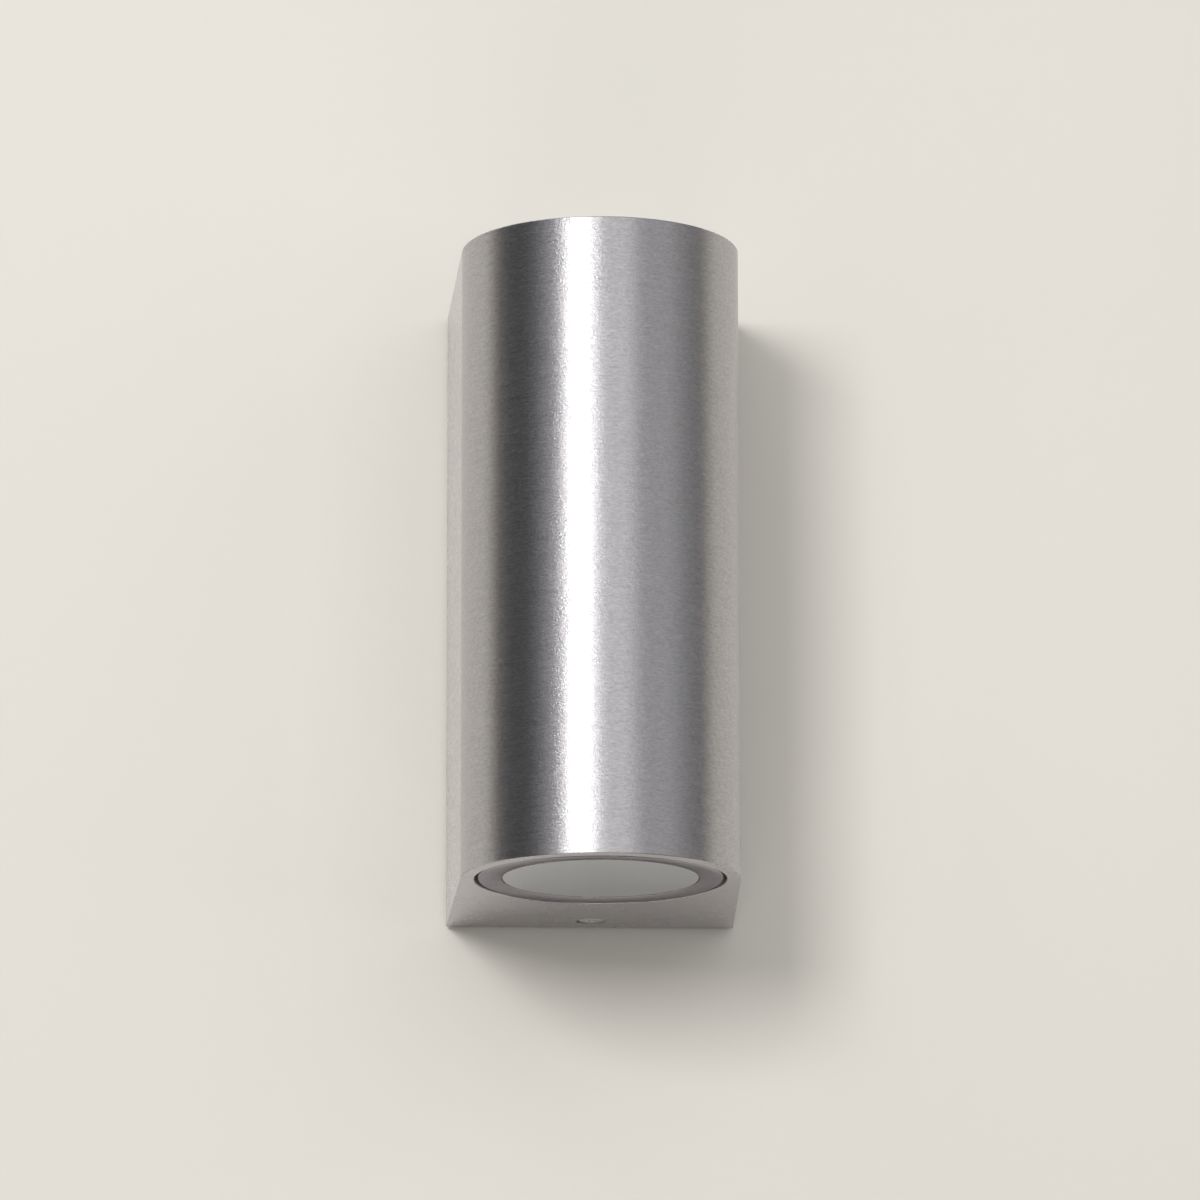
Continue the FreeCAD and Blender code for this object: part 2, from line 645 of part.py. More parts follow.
def holder_bridge():
    """Steel plate between the lampholders, with a wing on each rib and a tab down its back."""
    half_depth = HOLDER_HALF_WIDTH + BRIDGE_MARGIN
    low = V(-BRIDGE_HALF_WIDTH, AXIS_Y - half_depth, -BRIDGE_THICKNESS / 2)
    high = V(BRIDGE_HALF_WIDTH, AXIS_Y + half_depth, BRIDGE_THICKNESS / 2)
    solids = [box_between(low, high)]
    wing_outer = half_width(RIB_SEAT_Y, SIDE_WALL) - WING_SIDE_GAP
    wing_start_y = AXIS_Y + half_depth - RIB_REACH
    cuts = [
        rod(M3_RADIUS + SHANK_GAP, place - Z_AXIS * BRIDGE_THICKNESS, Z_AXIS, 2 * BRIDGE_THICKNESS)
        for place in holder_bolt_places()
    ]
    for side in (1, -1):
        inner, outer = side * BRIDGE_HALF_WIDTH / 2, side * wing_outer
        solids.append(
            box_between(
                V(min(inner, outer), wing_start_y, -BRIDGE_THICKNESS / 2),
                V(max(inner, outer), AXIS_Y + half_depth, BRIDGE_THICKNESS / 2),
            )
        )
        tab_middle = side * (RIB_INNER_X + wing_outer) / 2
        solids.append(
            bent_strip(
                V(tab_middle, wing_start_y, BRIDGE_THICKNESS / 2),
                Y_AXIS,
                -Z_AXIS,
                TAB_BACK_Y - wing_start_y,
                BRIDGE_THICKNESS / 2 - TAB_BOTTOM_Z,
                BRIDGE_THICKNESS,
                BRIDGE_BEND,
                wing_outer - RIB_INNER_X,
            )
        )
        hole = V(side * RIB_SCREW_X, TAB_BACK_Y, RIB_SCREW_Z)
        cuts.append(rod(M3_RADIUS + SHANK_GAP, hole, -Y_AXIS, BRIDGE_THICKNESS))
    return fused(solids).cut(cuts)


def bridge_screws():
    """Screws that hold the tabs to the ribs. The right one also clamps the earth tag."""
    screws = []
    for side, under_head in ((1, TAG_THICKNESS), (-1, 0)):
        seat = V(side * RIB_SCREW_X, TAB_BACK_Y + under_head, RIB_SCREW_Z)
        length = BRIDGE_THICKNESS + under_head + RIB_HOLE_DEPTH - RIB_SCREW_TIP_GAP
        screws.append(pan_screw(seat, -Y_AXIS, length))
    return screws


def holder_block(low_z, high_z):
    """Upright block of the lampholder's outline, with round ends."""
    straight = HOLDER_HALF_LENGTH - HOLDER_HALF_WIDTH
    base = LAMP_CENTRE + V(0, 0, low_z)
    height = high_z - low_z
    middle = box_between(
        base - V(straight, HOLDER_HALF_WIDTH, 0),
        base + V(straight, HOLDER_HALF_WIDTH, height),
    )
    ends = [
        rod(HOLDER_HALF_WIDTH, base + V(side * straight, 0, 0), Z_AXIS, height) for side in (1, -1)
    ]
    return fused([middle] + ends)


def holder_bolt_holes():
    """Plain holes for the two bolts, through all of a lampholder."""
    return [rod(M3_RADIUS + SHANK_GAP, place, Z_AXIS, HOLDER_TOP_Z) for place in holder_bolt_places()]


def lampholder():
    """Ceramic base of a lampholder, with a chamber for each contact and the pin that lands on it."""
    chambers = [contact_chamber(first) for first in (PIN_ANGLE, PIN_ANGLE + 180)]
    return holder_block(HOLDER_BASE_Z, CAP_BASE_Z).cut(chambers + holder_bolt_holes())


def holder_cap():
    """Ceramic cap over the chambers. The lamp's pins drop in at the wide ends of its two keyhole
    slots and turn under it."""
    cap = holder_block(CAP_BASE_Z, HOLDER_TOP_Z)
    top_edges = [edge for edge in cap.Edges if edge.BoundBox.ZMin > HOLDER_TOP_Z - 0.01]
    cap = cap.makeChamfer(HOLDER_EDGE, top_edges)
    cuts = holder_bolt_holes()
    for first in (PIN_ANGLE, PIN_ANGLE + 180):
        last = first + TWIST_ANGLE
        neck_half = PIN_NECK_RADIUS + TURNING_GAP
        cuts.append(arc_slot(PIN_CIRCLE_RADIUS, neck_half, first, last, CAP_BASE_Z, HOLDER_FACE))
        entry = pin_place(last) + V(0, 0, CAP_BASE_Z)
        cuts.append(rod(PIN_HEAD_RADIUS + TURNING_GAP, entry, Z_AXIS, HOLDER_FACE))
    recess_radius = M3_NUT_WIDTH / math.sqrt(3) + TURNING_GAP
    for place in holder_bolt_places():
        recess = place + V(0, 0, HOLDER_TOP_Z - HOLDER_BOLT_RECESS)
        cuts.append(rod(recess_radius, recess, Z_AXIS, HOLDER_BOLT_RECESS))
    return cap.cut(cuts)


def contact_chamber(first):
    """Square chamber under the cap, round all places of a pin's head from locked to released."""
    half = PIN_HEAD_RADIUS + TURNING_GAP
    places = [pin_place(first + TWIST_ANGLE * step / 8) for step in range(9)]
    xs = [place.x for place in places]
    ys = [place.y for place in places]
    return box_between(
        V(min(xs) - half, min(ys) - half, CAP_BASE_Z - CHAMBER_DEPTH),
        V(max(xs) + half, max(ys) + half, CAP_BASE_Z),
    )


def pin_place(degrees):
    """Centre of a pin at an angle round the lamp axis, at mid height."""
    turn = math.radians(degrees)
    return LAMP_CENTRE + V(math.cos(turn), math.sin(turn), 0) * PIN_CIRCLE_RADIUS


def lead_start(side, end):
    """Where a lead begins, on the back of a lampholder."""
    return V(side * LEAD_OFFSET, AXIS_Y + HOLDER_HALF_WIDTH, end * LEAD_HEIGHT)


def holder_contacts():
    """Spring contacts on the chamber floors, under the locked pins."""
    floor = CAP_BASE_Z - CHAMBER_DEPTH
    top = SHOULDER_Z - PIN_LENGTH - CONTACT_GAP
    half = CONTACT_SIZE / 2
    contacts = []
    for degrees in (PIN_ANGLE, PIN_ANGLE + 180):
        centre = pin_place(degrees) + V(0, 0, floor)
        block = box_between(centre - V(half, half, 0), centre + V(half, half, top - floor))
        upper = [edge for edge in block.Edges if edge.BoundBox.ZMin > top - 0.01]
        contacts.append(block.makeChamfer((top - floor) / 3, upper))
    return contacts


def holder_bolts():
    """Bolts that clamp both lampholders to the bridge, from the upper face to the lower."""
    seat_z = HOLDER_TOP_Z - HOLDER_BOLT_RECESS
    length = 2 * seat_z + M3_THIN_NUT_HEIGHT + HOLDER_BOLT_STUB
    return [pan_screw(place + Z_AXIS * seat_z, -Z_AXIS, length) for place in holder_bolt_places()]


def holder_nuts():
    """Thin nuts of the lampholder bolts, sunk in the lower face."""
    seats = [place + Z_AXIS * (HOLDER_BOLT_RECESS - HOLDER_TOP_Z) for place in holder_bolt_places()]
    return [hex_nut(seat, -Z_AXIS, M3_THIN_NUT_HEIGHT) for seat in seats]


# ---------------------------------------------------------------- lamps

LENS_BACK_Z = LAMP_FACE_Z - LAMP_LENS_RECESS - LAMP_LENS_THICKNESS
LAMP_BASE_TOP_Z = SHOULDER_Z + LAMP_BASE_HEIGHT


def lamp_shell():
    """Reflector-shaped lamp body, recessed at the front for its lens."""
    rim_low = LAMP_FACE_Z - LAMP_RIM_HEIGHT
    return lathe(
        [
            (0, LENS_BACK_Z),
            (LAMP_LENS_RADIUS, LENS_BACK_Z),
            (LAMP_LENS_RADIUS, LAMP_FACE_Z),
            (LAMP_RADIUS, LAMP_FACE_Z),
            (LAMP_RADIUS, rim_low),
            (LAMP_RADIUS - LAMP_RIM_STEP, rim_low - LAMP_RIM_STEP),
            (LAMP_NECK_RADIUS, LAMP_BASE_TOP_Z + LAMP_NECK_HEIGHT),
            (LAMP_NECK_RADIUS, LAMP_BASE_TOP_Z),
            (0, LAMP_BASE_TOP_Z),
        ]
    )


def lamp_lens():
    """Flat diffuser in the lamp's face."""
    return lathe(
        [
            (0, LENS_BACK_Z),
            (LAMP_LENS_RADIUS, LENS_BACK_Z),
            (LAMP_LENS_RADIUS, LAMP_FACE_Z - LAMP_LENS_RECESS),
            (0, LAMP_FACE_Z - LAMP_LENS_RECESS),
        ]
    )


def lamp_base():
    """Insulating base that carries the pins."""
    return lathe(
        [
            (0, LAMP_BASE_TOP_Z),
            (LAMP_BASE_RADIUS, LAMP_BASE_TOP_Z),
            (LAMP_BASE_RADIUS, SHOULDER_Z + LAMP_BASE_EDGE),
            (LAMP_BASE_RADIUS - LAMP_BASE_EDGE, SHOULDER_Z),
            (0, SHOULDER_Z),
        ]
    )


def lamp_pins():
    """Mushroom pins in the locked position."""
    head_top = SHOULDER_Z - PIN_LENGTH + PIN_HEAD_HEIGHT
    profile = [
        (0, SHOULDER_Z),
        (PIN_NECK_RADIUS, SHOULDER_Z),
        (PIN_NECK_RADIUS, head_top),
        (PIN_HEAD_RADIUS, head_top),
        (PIN_HEAD_RADIUS, SHOULDER_Z - PIN_LENGTH),
        (0, SHOULDER_Z - PIN_LENGTH),
    ]
    return [lathe(profile, pin_place(degrees)) for degrees in (PIN_ANGLE, PIN_ANGLE + 180)]


# ---------------------------------------------------------------- lens stack

def below_face(profile):
    """Solid turned from (radius, depth under the upper end face) points."""
    return lathe([(radius, HALF_HEIGHT - depth) for radius, depth in profile])


def lens_ring():
    """Screwed ring: a dished and bevelled flange over a threaded skirt, with a lip on the glass."""
    return below_face(
        [
            (RING_OPENING_RADIUS, RING_DISH),
            (RING_RADIUS - RING_BEVEL, 0),
            (RING_RADIUS, RING_BEVEL),
            (RING_RADIUS, RING_FLANGE_THICKNESS),
            (RING_THREAD_RADIUS, RING_FLANGE_THICKNESS),
            (RING_THREAD_RADIUS, SKIRT_DEPTH),
            (SKIRT_INNER_RADIUS, SKIRT_DEPTH),
            (SKIRT_INNER_RADIUS, RING_LIP_DEPTH),
            (RING_OPENING_RADIUS, RING_LIP_DEPTH),
        ]
    )


def lens_glass():
    """Frosted glass: a rim under the ring's lip and a raised face in its opening."""
    step_radius = RING_OPENING_RADIUS - GLASS_STEP_GAP
    return below_face(
        [
            (0, GLASS_FACE_DEPTH),
            (step_radius, GLASS_FACE_DEPTH),
            (step_radius, RING_LIP_DEPTH),
            (GLASS_RADIUS, RING_LIP_DEPTH),
            (GLASS_RADIUS, GLASS_BACK_DEPTH),
            (0, GLASS_BACK_DEPTH),
        ]
    )


def lens_gasket():
    """Silicone seal between the glass and the ledge, with a wide foot on the ledge."""
    inner = LEDGE_RADIUS + GASKET_EDGE
    foot = THREAD_BORE_RADIUS - TURNING_GAP
    return below_face(
        [
            (inner, GLASS_BACK_DEPTH),
            (GLASS_RADIUS, GLASS_BACK_DEPTH),
            (GLASS_RADIUS, FOOT_DEPTH),
            (foot, FOOT_DEPTH),
            (foot, LEDGE_DEPTH),
            (inner, LEDGE_DEPTH),
        ]
    )


# ---------------------------------------------------------------- leads

TAG_BARREL_X = RIB_INNER_X - TAG_TAB_GAP
TAG_BARREL_Y = TAB_BACK_Y + TAG_LEAD_LIFT


def lead(name, points):
    """Round lead along straight runs joined by tangent arcs, each as large as its runs allow."""
    edges, radii = [], []
    start = points[0]
    for before, corner, after in zip(points, points[1:], points[2:]):
        run_in, run_out = corner - before, after - corner
        turn = run_in.getAngle(run_out)
        setback = LEAD_BEND_SHARE * min(run_in.Length, run_out.Length)
        radii.append(setback / math.tan(turn / 2))
        arc_start = corner - run_in.normalize() * setback
        arc_end = corner + run_out.normalize() * setback
        bisector = (run_out - run_in).normalize()
        rise = radii[-1] * (1 / math.cos(turn / 2) - 1)
        edges.append(Part.LineSegment(start, arc_start).toShape())
        edges.append(Part.Arc(arc_start, corner + bisector * rise, arc_end).toShape())
        start = arc_end
    edges.append(Part.LineSegment(start, points[-1]).toShape())
    path = Part.Wire(edges)
    section = Part.Wire(Part.makeCircle(LEAD_RADIUS, points[0], points[1] - points[0]))
    tube = path.makePipeShell([section], True, False)
    tight = min(radii)
    expected = math.pi * LEAD_RADIUS**2 * path.Length
    print(f"{name}: tightest bend {tight:.1f} mm, volume {tube.Volume:.1f} of {expected:.1f} mm3")
    return tube


def lamp_lead(name, end, side, pole_x, pair_side):
    """Lead from a lampholder back to its pole of the terminal block. The upper leads dip and the
    lower ones rise towards the block."""
    start = lead_start(side, end)
    last_x = pole_x + pair_side * LEAD_PAIR_OFFSET
    exit_y = start.y + LEAD_EXIT
    upper_heights = (UPPER_LEAD_LOW_Z, UPPER_LEAD_RISE_Z, UPPER_LEAD_ENTRY_Z)
    lower_heights = (LOWER_LEAD_LOW_Z, LOWER_LEAD_RISE_Z, LOWER_LEAD_ENTRY_Z)
    low_z, rise_z, entry_z = upper_heights if end > 0 else lower_heights
    drift = last_x - start.x
    points = [
        start,
        V(start.x, exit_y, start.z),
        V(start.x + 0.35 * drift, exit_y + LEAD_CROSSING, low_z),
        V(last_x - 0.1 * drift, BARREL_Y - LEAD_APPROACH, rise_z),
        V(last_x, BARREL_Y, entry_z),
        V(last_x, BARREL_Y, INSERT_BOTTOM_Z),
    ]
    return lead(name, points)


def earth_lead():
    """Lead from the earth tag on the right tab to the third pole."""
    start = V(TAG_BARREL_X - TAG_BARREL_LENGTH + TAG_BARREL_BORE_DEPTH, TAG_BARREL_Y, RIB_SCREW_Z)
    last_x = POLE_XS[2]
    points = [
        start,
        start - V(EARTH_LEAD_EXIT, 0, 0),
        start + V(-EARTH_LEAD_TURN, EARTH_LEAD_DROP, 0),
        start + V(-EARTH_LEAD_TURN, EARTH_LEAD_REACH, 0),
        V(last_x, BARREL_Y - EARTH_LEAD_APPROACH, EARTH_LEAD_RISE_Z),
        V(last_x, BARREL_Y, EARTH_LEAD_ENTRY_Z),
        V(last_x, BARREL_Y, INSERT_BOTTOM_Z),
    ]
    return lead("earth_lead", points)


def earth_tag():
    """Ring tag under the right bridge screw, with a barrel for the earth lead."""
    centre = V(RIB_SCREW_X, TAB_BACK_Y, RIB_SCREW_Z)
    ring = rod(TAG_RADIUS, centre, Y_AXIS, TAG_THICKNESS)
    neck = box_between(
        V(TAG_BARREL_X - 1.0, TAB_BACK_Y, RIB_SCREW_Z - TAG_NECK_WIDTH / 2),
        V(RIB_SCREW_X, TAB_BACK_Y + TAG_THICKNESS, RIB_SCREW_Z + TAG_NECK_WIDTH / 2),
    )
    barrel_end = V(TAG_BARREL_X - TAG_BARREL_LENGTH, TAG_BARREL_Y, RIB_SCREW_Z)
    barrel = rod(TAG_BARREL_RADIUS, barrel_end, X_AXIS, TAG_BARREL_LENGTH)
    holes = [
        rod(M3_RADIUS + SHANK_GAP, centre, Y_AXIS, TAG_THICKNESS),
        rod(LEAD_RADIUS + SCREW_GAP, barrel_end, X_AXIS, TAG_BARREL_BORE_DEPTH),
    ]
    return fused([ring, neck, barrel]).cut(holes)


# ---------------------------------------------------------------- export

def light_parts():
    """Every piece of the light by node name. A list is a group of like pieces."""
    parts = {
        "housing": housing(),
        "wall_gasket": wall_gasket(),
        "wall_bracket": wall_bracket(),
        "bracket_nuts": bracket_nuts(),
        "housing_screws": housing_screws(),
        "cable_bush": cable_bush(),
        "terminal_block": terminal_block(),
        "terminal_inserts": terminal_inserts(),
        "terminal_screws": terminal_screws(),
        "block_screws": block_screws(),
        "holder_bridge": holder_bridge(),
        "bridge_screws": bridge_screws(),
        "holder_bolts": holder_bolts(),
        "holder_nuts": holder_nuts(),
        "earth_tag": earth_tag(),
        "earth_lead": earth_lead(),
    }
    for end, end_name in ((1, "upper"), (-1, "lower")):
        live, neutral = f"{end_name}_live_lead", f"{end_name}_neutral_lead"
        parts[live] = lamp_lead(live, end, -1, POLE_XS[0], -end)
        parts[neutral] = lamp_lead(neutral, end, 1, POLE_XS[1], end)
    at_each_end = {
        "lens_ring": lens_ring(),
        "lens_glass": lens_glass(),
        "lens_gasket": lens_gasket(),
        "lampholder": lampholder(),
        "holder_cap": holder_cap(),
        "holder_contacts": holder_contacts(),
        "lamp_shell": lamp_shell(),
        "lamp_lens": lamp_lens(),
        "lamp_base": lamp_base(),
        "lamp_pins": lamp_pins(),
    }
    for name, shape in at_each_end.items():
        whole = Part.Compound(shape) if isinstance(shape, list) else shape
        parts[f"upper_{name}"] = whole
        parts[f"lower_{name}"] = turned_over(whole)
    return parts


def export(parts):
    """Write one STEP file for each node."""
    os.makedirs("parts", exist_ok=True)
    for name, shape in parts.items():
        whole = Part.Compound(shape) if isinstance(shape, list) else shape
        whole.exportStep(f"parts/{name}.step")
    print(f"{len(parts)} nodes, height {2 * HALF_HEIGHT:.2f} mm, projection {FRONT_RADIUS - AXIS_Y:.2f} mm")


export(light_parts())
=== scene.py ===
# %% [markdown]
# # A tube wall light, dressed on its CAD frame
# The light is a half-round metal housing on a wall, with a frosted glass under a screwed ring at
# each end and one small screw through each end wall. The construction already exists as a CAD
# frame, so this lesson only gives it its looks: smooth curves, brushed and turned metal, frosted
# glass, real screw heads and a soft studio. Everything is in metres, the wall is the plane y = 0
# and the round front looks along -y.

# %% Load the frame
import math

import bpy
from mathutils import Matrix, Vector


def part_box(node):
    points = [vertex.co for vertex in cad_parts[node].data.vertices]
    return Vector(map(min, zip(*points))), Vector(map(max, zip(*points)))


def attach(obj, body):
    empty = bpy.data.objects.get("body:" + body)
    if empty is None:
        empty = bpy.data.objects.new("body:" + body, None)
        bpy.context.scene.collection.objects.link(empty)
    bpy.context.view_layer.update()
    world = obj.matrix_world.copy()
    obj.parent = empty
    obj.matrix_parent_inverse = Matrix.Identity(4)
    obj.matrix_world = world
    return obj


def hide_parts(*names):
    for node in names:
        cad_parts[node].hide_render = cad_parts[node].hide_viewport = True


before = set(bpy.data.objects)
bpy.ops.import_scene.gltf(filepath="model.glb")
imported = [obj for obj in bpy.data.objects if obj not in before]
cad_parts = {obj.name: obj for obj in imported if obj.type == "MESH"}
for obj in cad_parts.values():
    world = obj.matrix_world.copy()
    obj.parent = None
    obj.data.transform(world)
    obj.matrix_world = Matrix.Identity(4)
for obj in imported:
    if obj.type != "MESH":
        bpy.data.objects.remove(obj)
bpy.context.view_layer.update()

MM = 0.001

# %% [markdown]
# ## Where the main faces lie
# Every piece below is drawn from the places of the CAD solids. Reading them from the frame, and
# not typing them again, keeps the dressed pieces on their seats if the frame is ever resized.

# %% Read the lamp axis, the end faces and the ring sizes
ring_low, ring_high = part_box("upper_lens_ring")
glass_low, glass_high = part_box("upper_lens_glass")
LAMP_Y = (ring_low[1] + ring_high[1]) / 2
END_Z = ring_high[2]
RING_RADIUS = (ring_high[0] - ring_low[0]) / 2
SKIRT_LENGTH = ring_high[2] - ring_low[2]
print("lamp axis at y =", round(LAMP_Y, 5), "end faces at z = +-", round(END_Z, 5))

# %% [markdown]
# ## The camera
# The picture was taken from a little below and a little left, far away with a long lens, so the
# upright sides stay almost parallel and the lower end just shows. The place and the turns were
# found by matching the outline of the light. A camera at rest looks down, so a quarter turn about
# x comes first, then the roll, the pitch and the yaw.

# %% Set the camera
camera_data = bpy.data.cameras.new("camera")
camera_data.sensor_width = 36.0
camera_data.lens = 239.22
camera_data.clip_start = 0.01
camera_data.dof.use_dof = False
camera = bpy.data.objects.new("camera", camera_data)
bpy.context.scene.collection.objects.link(camera)
YAW, PITCH, ROLL = -0.0446, 0.22571, 0.00129
camera.matrix_world = (
    Matrix.Translation((-0.0807185, -1.8677815, -0.424057))
    @ Matrix.Rotation(YAW, 4, "Z")
    @ Matrix.Rotation(PITCH, 4, "X")
    @ Matrix.Rotation(ROLL, 4, "Y")
    @ Matrix.Rotation(math.radians(90), 4, "X")
)
bpy.context.scene.camera = camera
bpy.context.scene.view_settings.view_transform = "Standard"
print("camera at", [round(value, 3) for value in camera.matrix_world.translation])

# %% [markdown]
# ## Small tools for finishes
# A finish is a shader with a few nodes in front of it. Two helpers keep the node work short: one
# adds a node and sets its values, the other joins two sockets. All patterns read the Object
# coordinates, so they are in metres on every piece and stay with it when it moves.

# %% Helpers: materials and nodes
def new_finish(name, metallic=0.0, roughness=0.5):
    """Make a material and return it with its shader node."""
    material = bpy.data.materials.new(name)
    material.use_nodes = True
    shader = material.node_tree.nodes["Principled BSDF"]
    shader.inputs["Metallic"].default_value = metallic
    shader.inputs["Roughness"].default_value = roughness
    return material, shader


def add_node(material, kind, inputs=None, **settings):
    """Add a node, then set its properties and its unlinked inputs."""
    node = material.node_tree.nodes.new(kind)
    for key, value in settings.items():
        setattr(node, key, value)
    for key, value in (inputs or {}).items():
        node.inputs[key].default_value = value
    return node


def join(material, output, target):
    """Join an output socket to an input socket."""
    material.node_tree.links.new(output, target)


def placed(material, centre=(0, 0, 0), scale=(1, 1, 1), turn=(0, 0, 0)):
    """Object coordinates, moved so that centre is the middle, then scaled."""
    coordinates = add_node(material, "ShaderNodeTexCoord")
    shift = [-centre[axis] for axis in range(3)]
    centred = add_node(material, "ShaderNodeMapping", {"Location": shift, "Rotation": turn})
    join(material, coordinates.outputs["Object"], centred.inputs["Vector"])
    sized = add_node(material, "ShaderNodeMapping", {"Scale": scale})
    join(material, centred.outputs["Vector"], sized.inputs["Vector"])
    return sized.outputs["Vector"]


def noise(material, vector, size=1.0, detail=3.0, rough=0.6):
    """Noise whose blotches are about one unit of the vector across, divided by size."""
    node = add_node(
        material, "ShaderNodeTexNoise", {"Scale": size, "Detail": detail, "Roughness": rough}
    )
    join(material, vector, node.inputs["Vector"])
    return node.outputs["Fac"]


def span(material, value, low, high, start=0.3, end=0.7):
    """Stretch the middle of a noise to the span low to high."""
    node = add_node(
        material,
        "ShaderNodeMapRange",
        {"From Min": start, "From Max": end, "To Min": low, "To Max": high},
    )
    join(material, value, node.inputs["Value"])
    return node.outputs["Result"]


def blend_colours(material, share, first, second):
    """Mix two colours by a value from 0 to 1."""
    node = add_node(material, "ShaderNodeMix", data_type="RGBA")
    join(material, share, node.inputs["Factor"])
    node.inputs["A"].default_value = (*first, 1)
    node.inputs["B"].default_value = (*second, 1)
    return node.outputs["Result"]


def relief(material, shader, height, depth, under=None):
    """Bump of that depth in metres, on top of an earlier bump if there is one."""
    bump = add_node(material, "ShaderNodeBump", {"Strength": 1.0, "Distance": depth})
    join(material, height, bump.inputs["Height"])
    if under is not None:
        join(material, under, bump.inputs["Normal"])
    join(material, bump.outputs["Normal"], shader.inputs["Normal"])
    return bump.outputs["Normal"]


print("finish helpers ready")

# %% [markdown]
# ## The wall
# The light hangs on a plain warm white wall, which is also what its metal mirrors at both edges.
# The wall is one sheet just behind the bracket. From behind it would hide the whole light, so its
# back face lets everything through: Backfacing mixes in a transparent shader. Rays to a light pass
# it too, so that one card behind the wall can show the bracket and the inlet in a view from behind.

# %% Paint for the room
WALL_PAINT = (0.815, 0.785, 0.718)


def room_paint(name, colour):
    """Matt wall paint with a faint roller texture, see-through from behind."""
    material, shader = new_finish(name, roughness=0.9)
    shader.inputs["Specular IOR Level"].default_value = 0.1
    roller = noise(material, placed(material, scale=(60, 60, 60)), detail=4)
    lighter = tuple(min(1, part * 1.006) for part in colour)
    tone = blend_colours(material, roller, colour, lighter)
    join(material, tone, shader.inputs["Base Color"])
    fine = noise(material, placed(material, scale=(900, 900, 900)), detail=2)
    relief(material, shader, fine, 0.00001)
    side = add_node(material, "ShaderNodeNewGeometry")
    rays = add_node(material, "ShaderNodeLightPath")
    open_way = add_node(material, "ShaderNodeMath", operation="MAXIMUM")
    join(material, side.outputs["Backfacing"], open_way.inputs[0])
    join(material, rays.outputs["Is Shadow Ray"], open_way.inputs[1])
    clear = add_node(material, "ShaderNodeBsdfTransparent")
    mix = add_node(material, "ShaderNodeMixShader")
    join(material, open_way.outputs["Value"], mix.inputs["Fac"])
    join(material, shader.outputs["BSDF"], mix.inputs[1])
    join(material, clear.outputs["BSDF"], mix.inputs[2])
    output = material.node_tree.nodes["Material Output"]
    join(material, mix.outputs["Shader"], output.inputs["Surface"])
    return material


def only(piece):
    """Make piece the one selected and active object."""
    bpy.ops.object.select_all(action="DESELECT")
    piece.select_set(True)
    bpy.context.view_layer.objects.active = piece


def settle(piece):
    """Put the object's origin at the world's origin, with its place in its mesh."""
    only(piece)
    bpy.ops.object.transform_apply(location=True, rotation=True, scale=True)
    return piece


bpy.ops.object.select_all(action="DESELECT")
bpy.ops.mesh.primitive_plane_add(size=1, location=(0.18, 0.0006, 0.3), rotation=(math.pi / 2, 0, 0))
wall = bpy.context.object
wall.name = "studio_wall"
wall.scale = (1.08, 2.8, 1)
settle(wall)
wall.data.materials.append(room_paint("wall_paint", WALL_PAINT))
print("wall in place")

# %% [markdown]
# ## Soft studio light
# The round front is a mirror of the studio: each upright band on it is one card or one dark gap.
# A bright softbox stands left of the camera, with a narrow card at its edge and a weak one further
# left. Four weak cards carry on from the camera round the right side, and the room between them is
# dim. Two cards above and one below fill the shadow on the wall, and the lower one also lights the
# end face and the glass. The last card stands behind the wall, for views from behind. The helper
# takes the angles, the distance, the size and the brightness as seen, because those are what the
# bands show.

# %% Place the softboxes
def softbox(name, azimuth, elevation, distance, width, height, radiance, tint=(1, 1, 1)):
    """Area light seen from the origin at azimuth, counted from straight ahead to the right."""
    data = bpy.data.lights.new(name, "AREA")
    data.shape = "RECTANGLE"
    data.size, data.size_y = width, height
    data.energy = radiance * math.pi * width * height
    data.color = tint
    light = bpy.data.objects.new(name, data)
    bpy.context.scene.collection.objects.link(light)
    turn, rise = math.radians(azimuth), math.radians(elevation)
    place = Vector(
        (
            math.sin(turn) * math.cos(rise),
            -math.cos(turn) * math.cos(rise),
            math.sin(rise),
        )
    )
    light.location = place * distance
    light.rotation_euler = place.to_track_quat("Z", "Y").to_euler()
    light.visible_camera = False
    return light


softbox("key_softbox", -18.8, 10, 1.7, 0.43, 0.46, 20.8)
softbox("key_edge_card", -29.5, 10, 1.7, 0.14, 1.0, 2.2)
softbox("front_card", -4, 10, 1.9, 0.5, 1.6, 1.4)
softbox("right_card", 16, 10, 1.9, 0.68, 1.6, 1.6)
softbox("far_right_card", 46, 10, 1.9, 1.1, 1.6, 0.76)
softbox("side_card", 72, 10, 1.9, 0.6, 1.6, 0.38)
softbox("left_card", -44, 10, 1.9, 0.4, 1.6, 0.5)
softbox("ceiling_card", 0, 72, 1.8, 1.6, 1.0, 0.5)
softbox("upper_left_card", -58, 60, 1.8, 1.0, 0.8, 0.9)
softbox("floor_card", -12, -56, 1.8, 1.6, 1.2, 0.85, (1.0, 0.96, 0.9))
softbox("rear_card", 180, 12, 1.5, 1.0, 1.0, 1.6)

# %% [markdown]
# ## The room beyond the cards
# Metal and the wall see a dim grey room. Only the camera sees it pale, through Light Path, so that
# views from the side and from behind have a plain light background without more light.

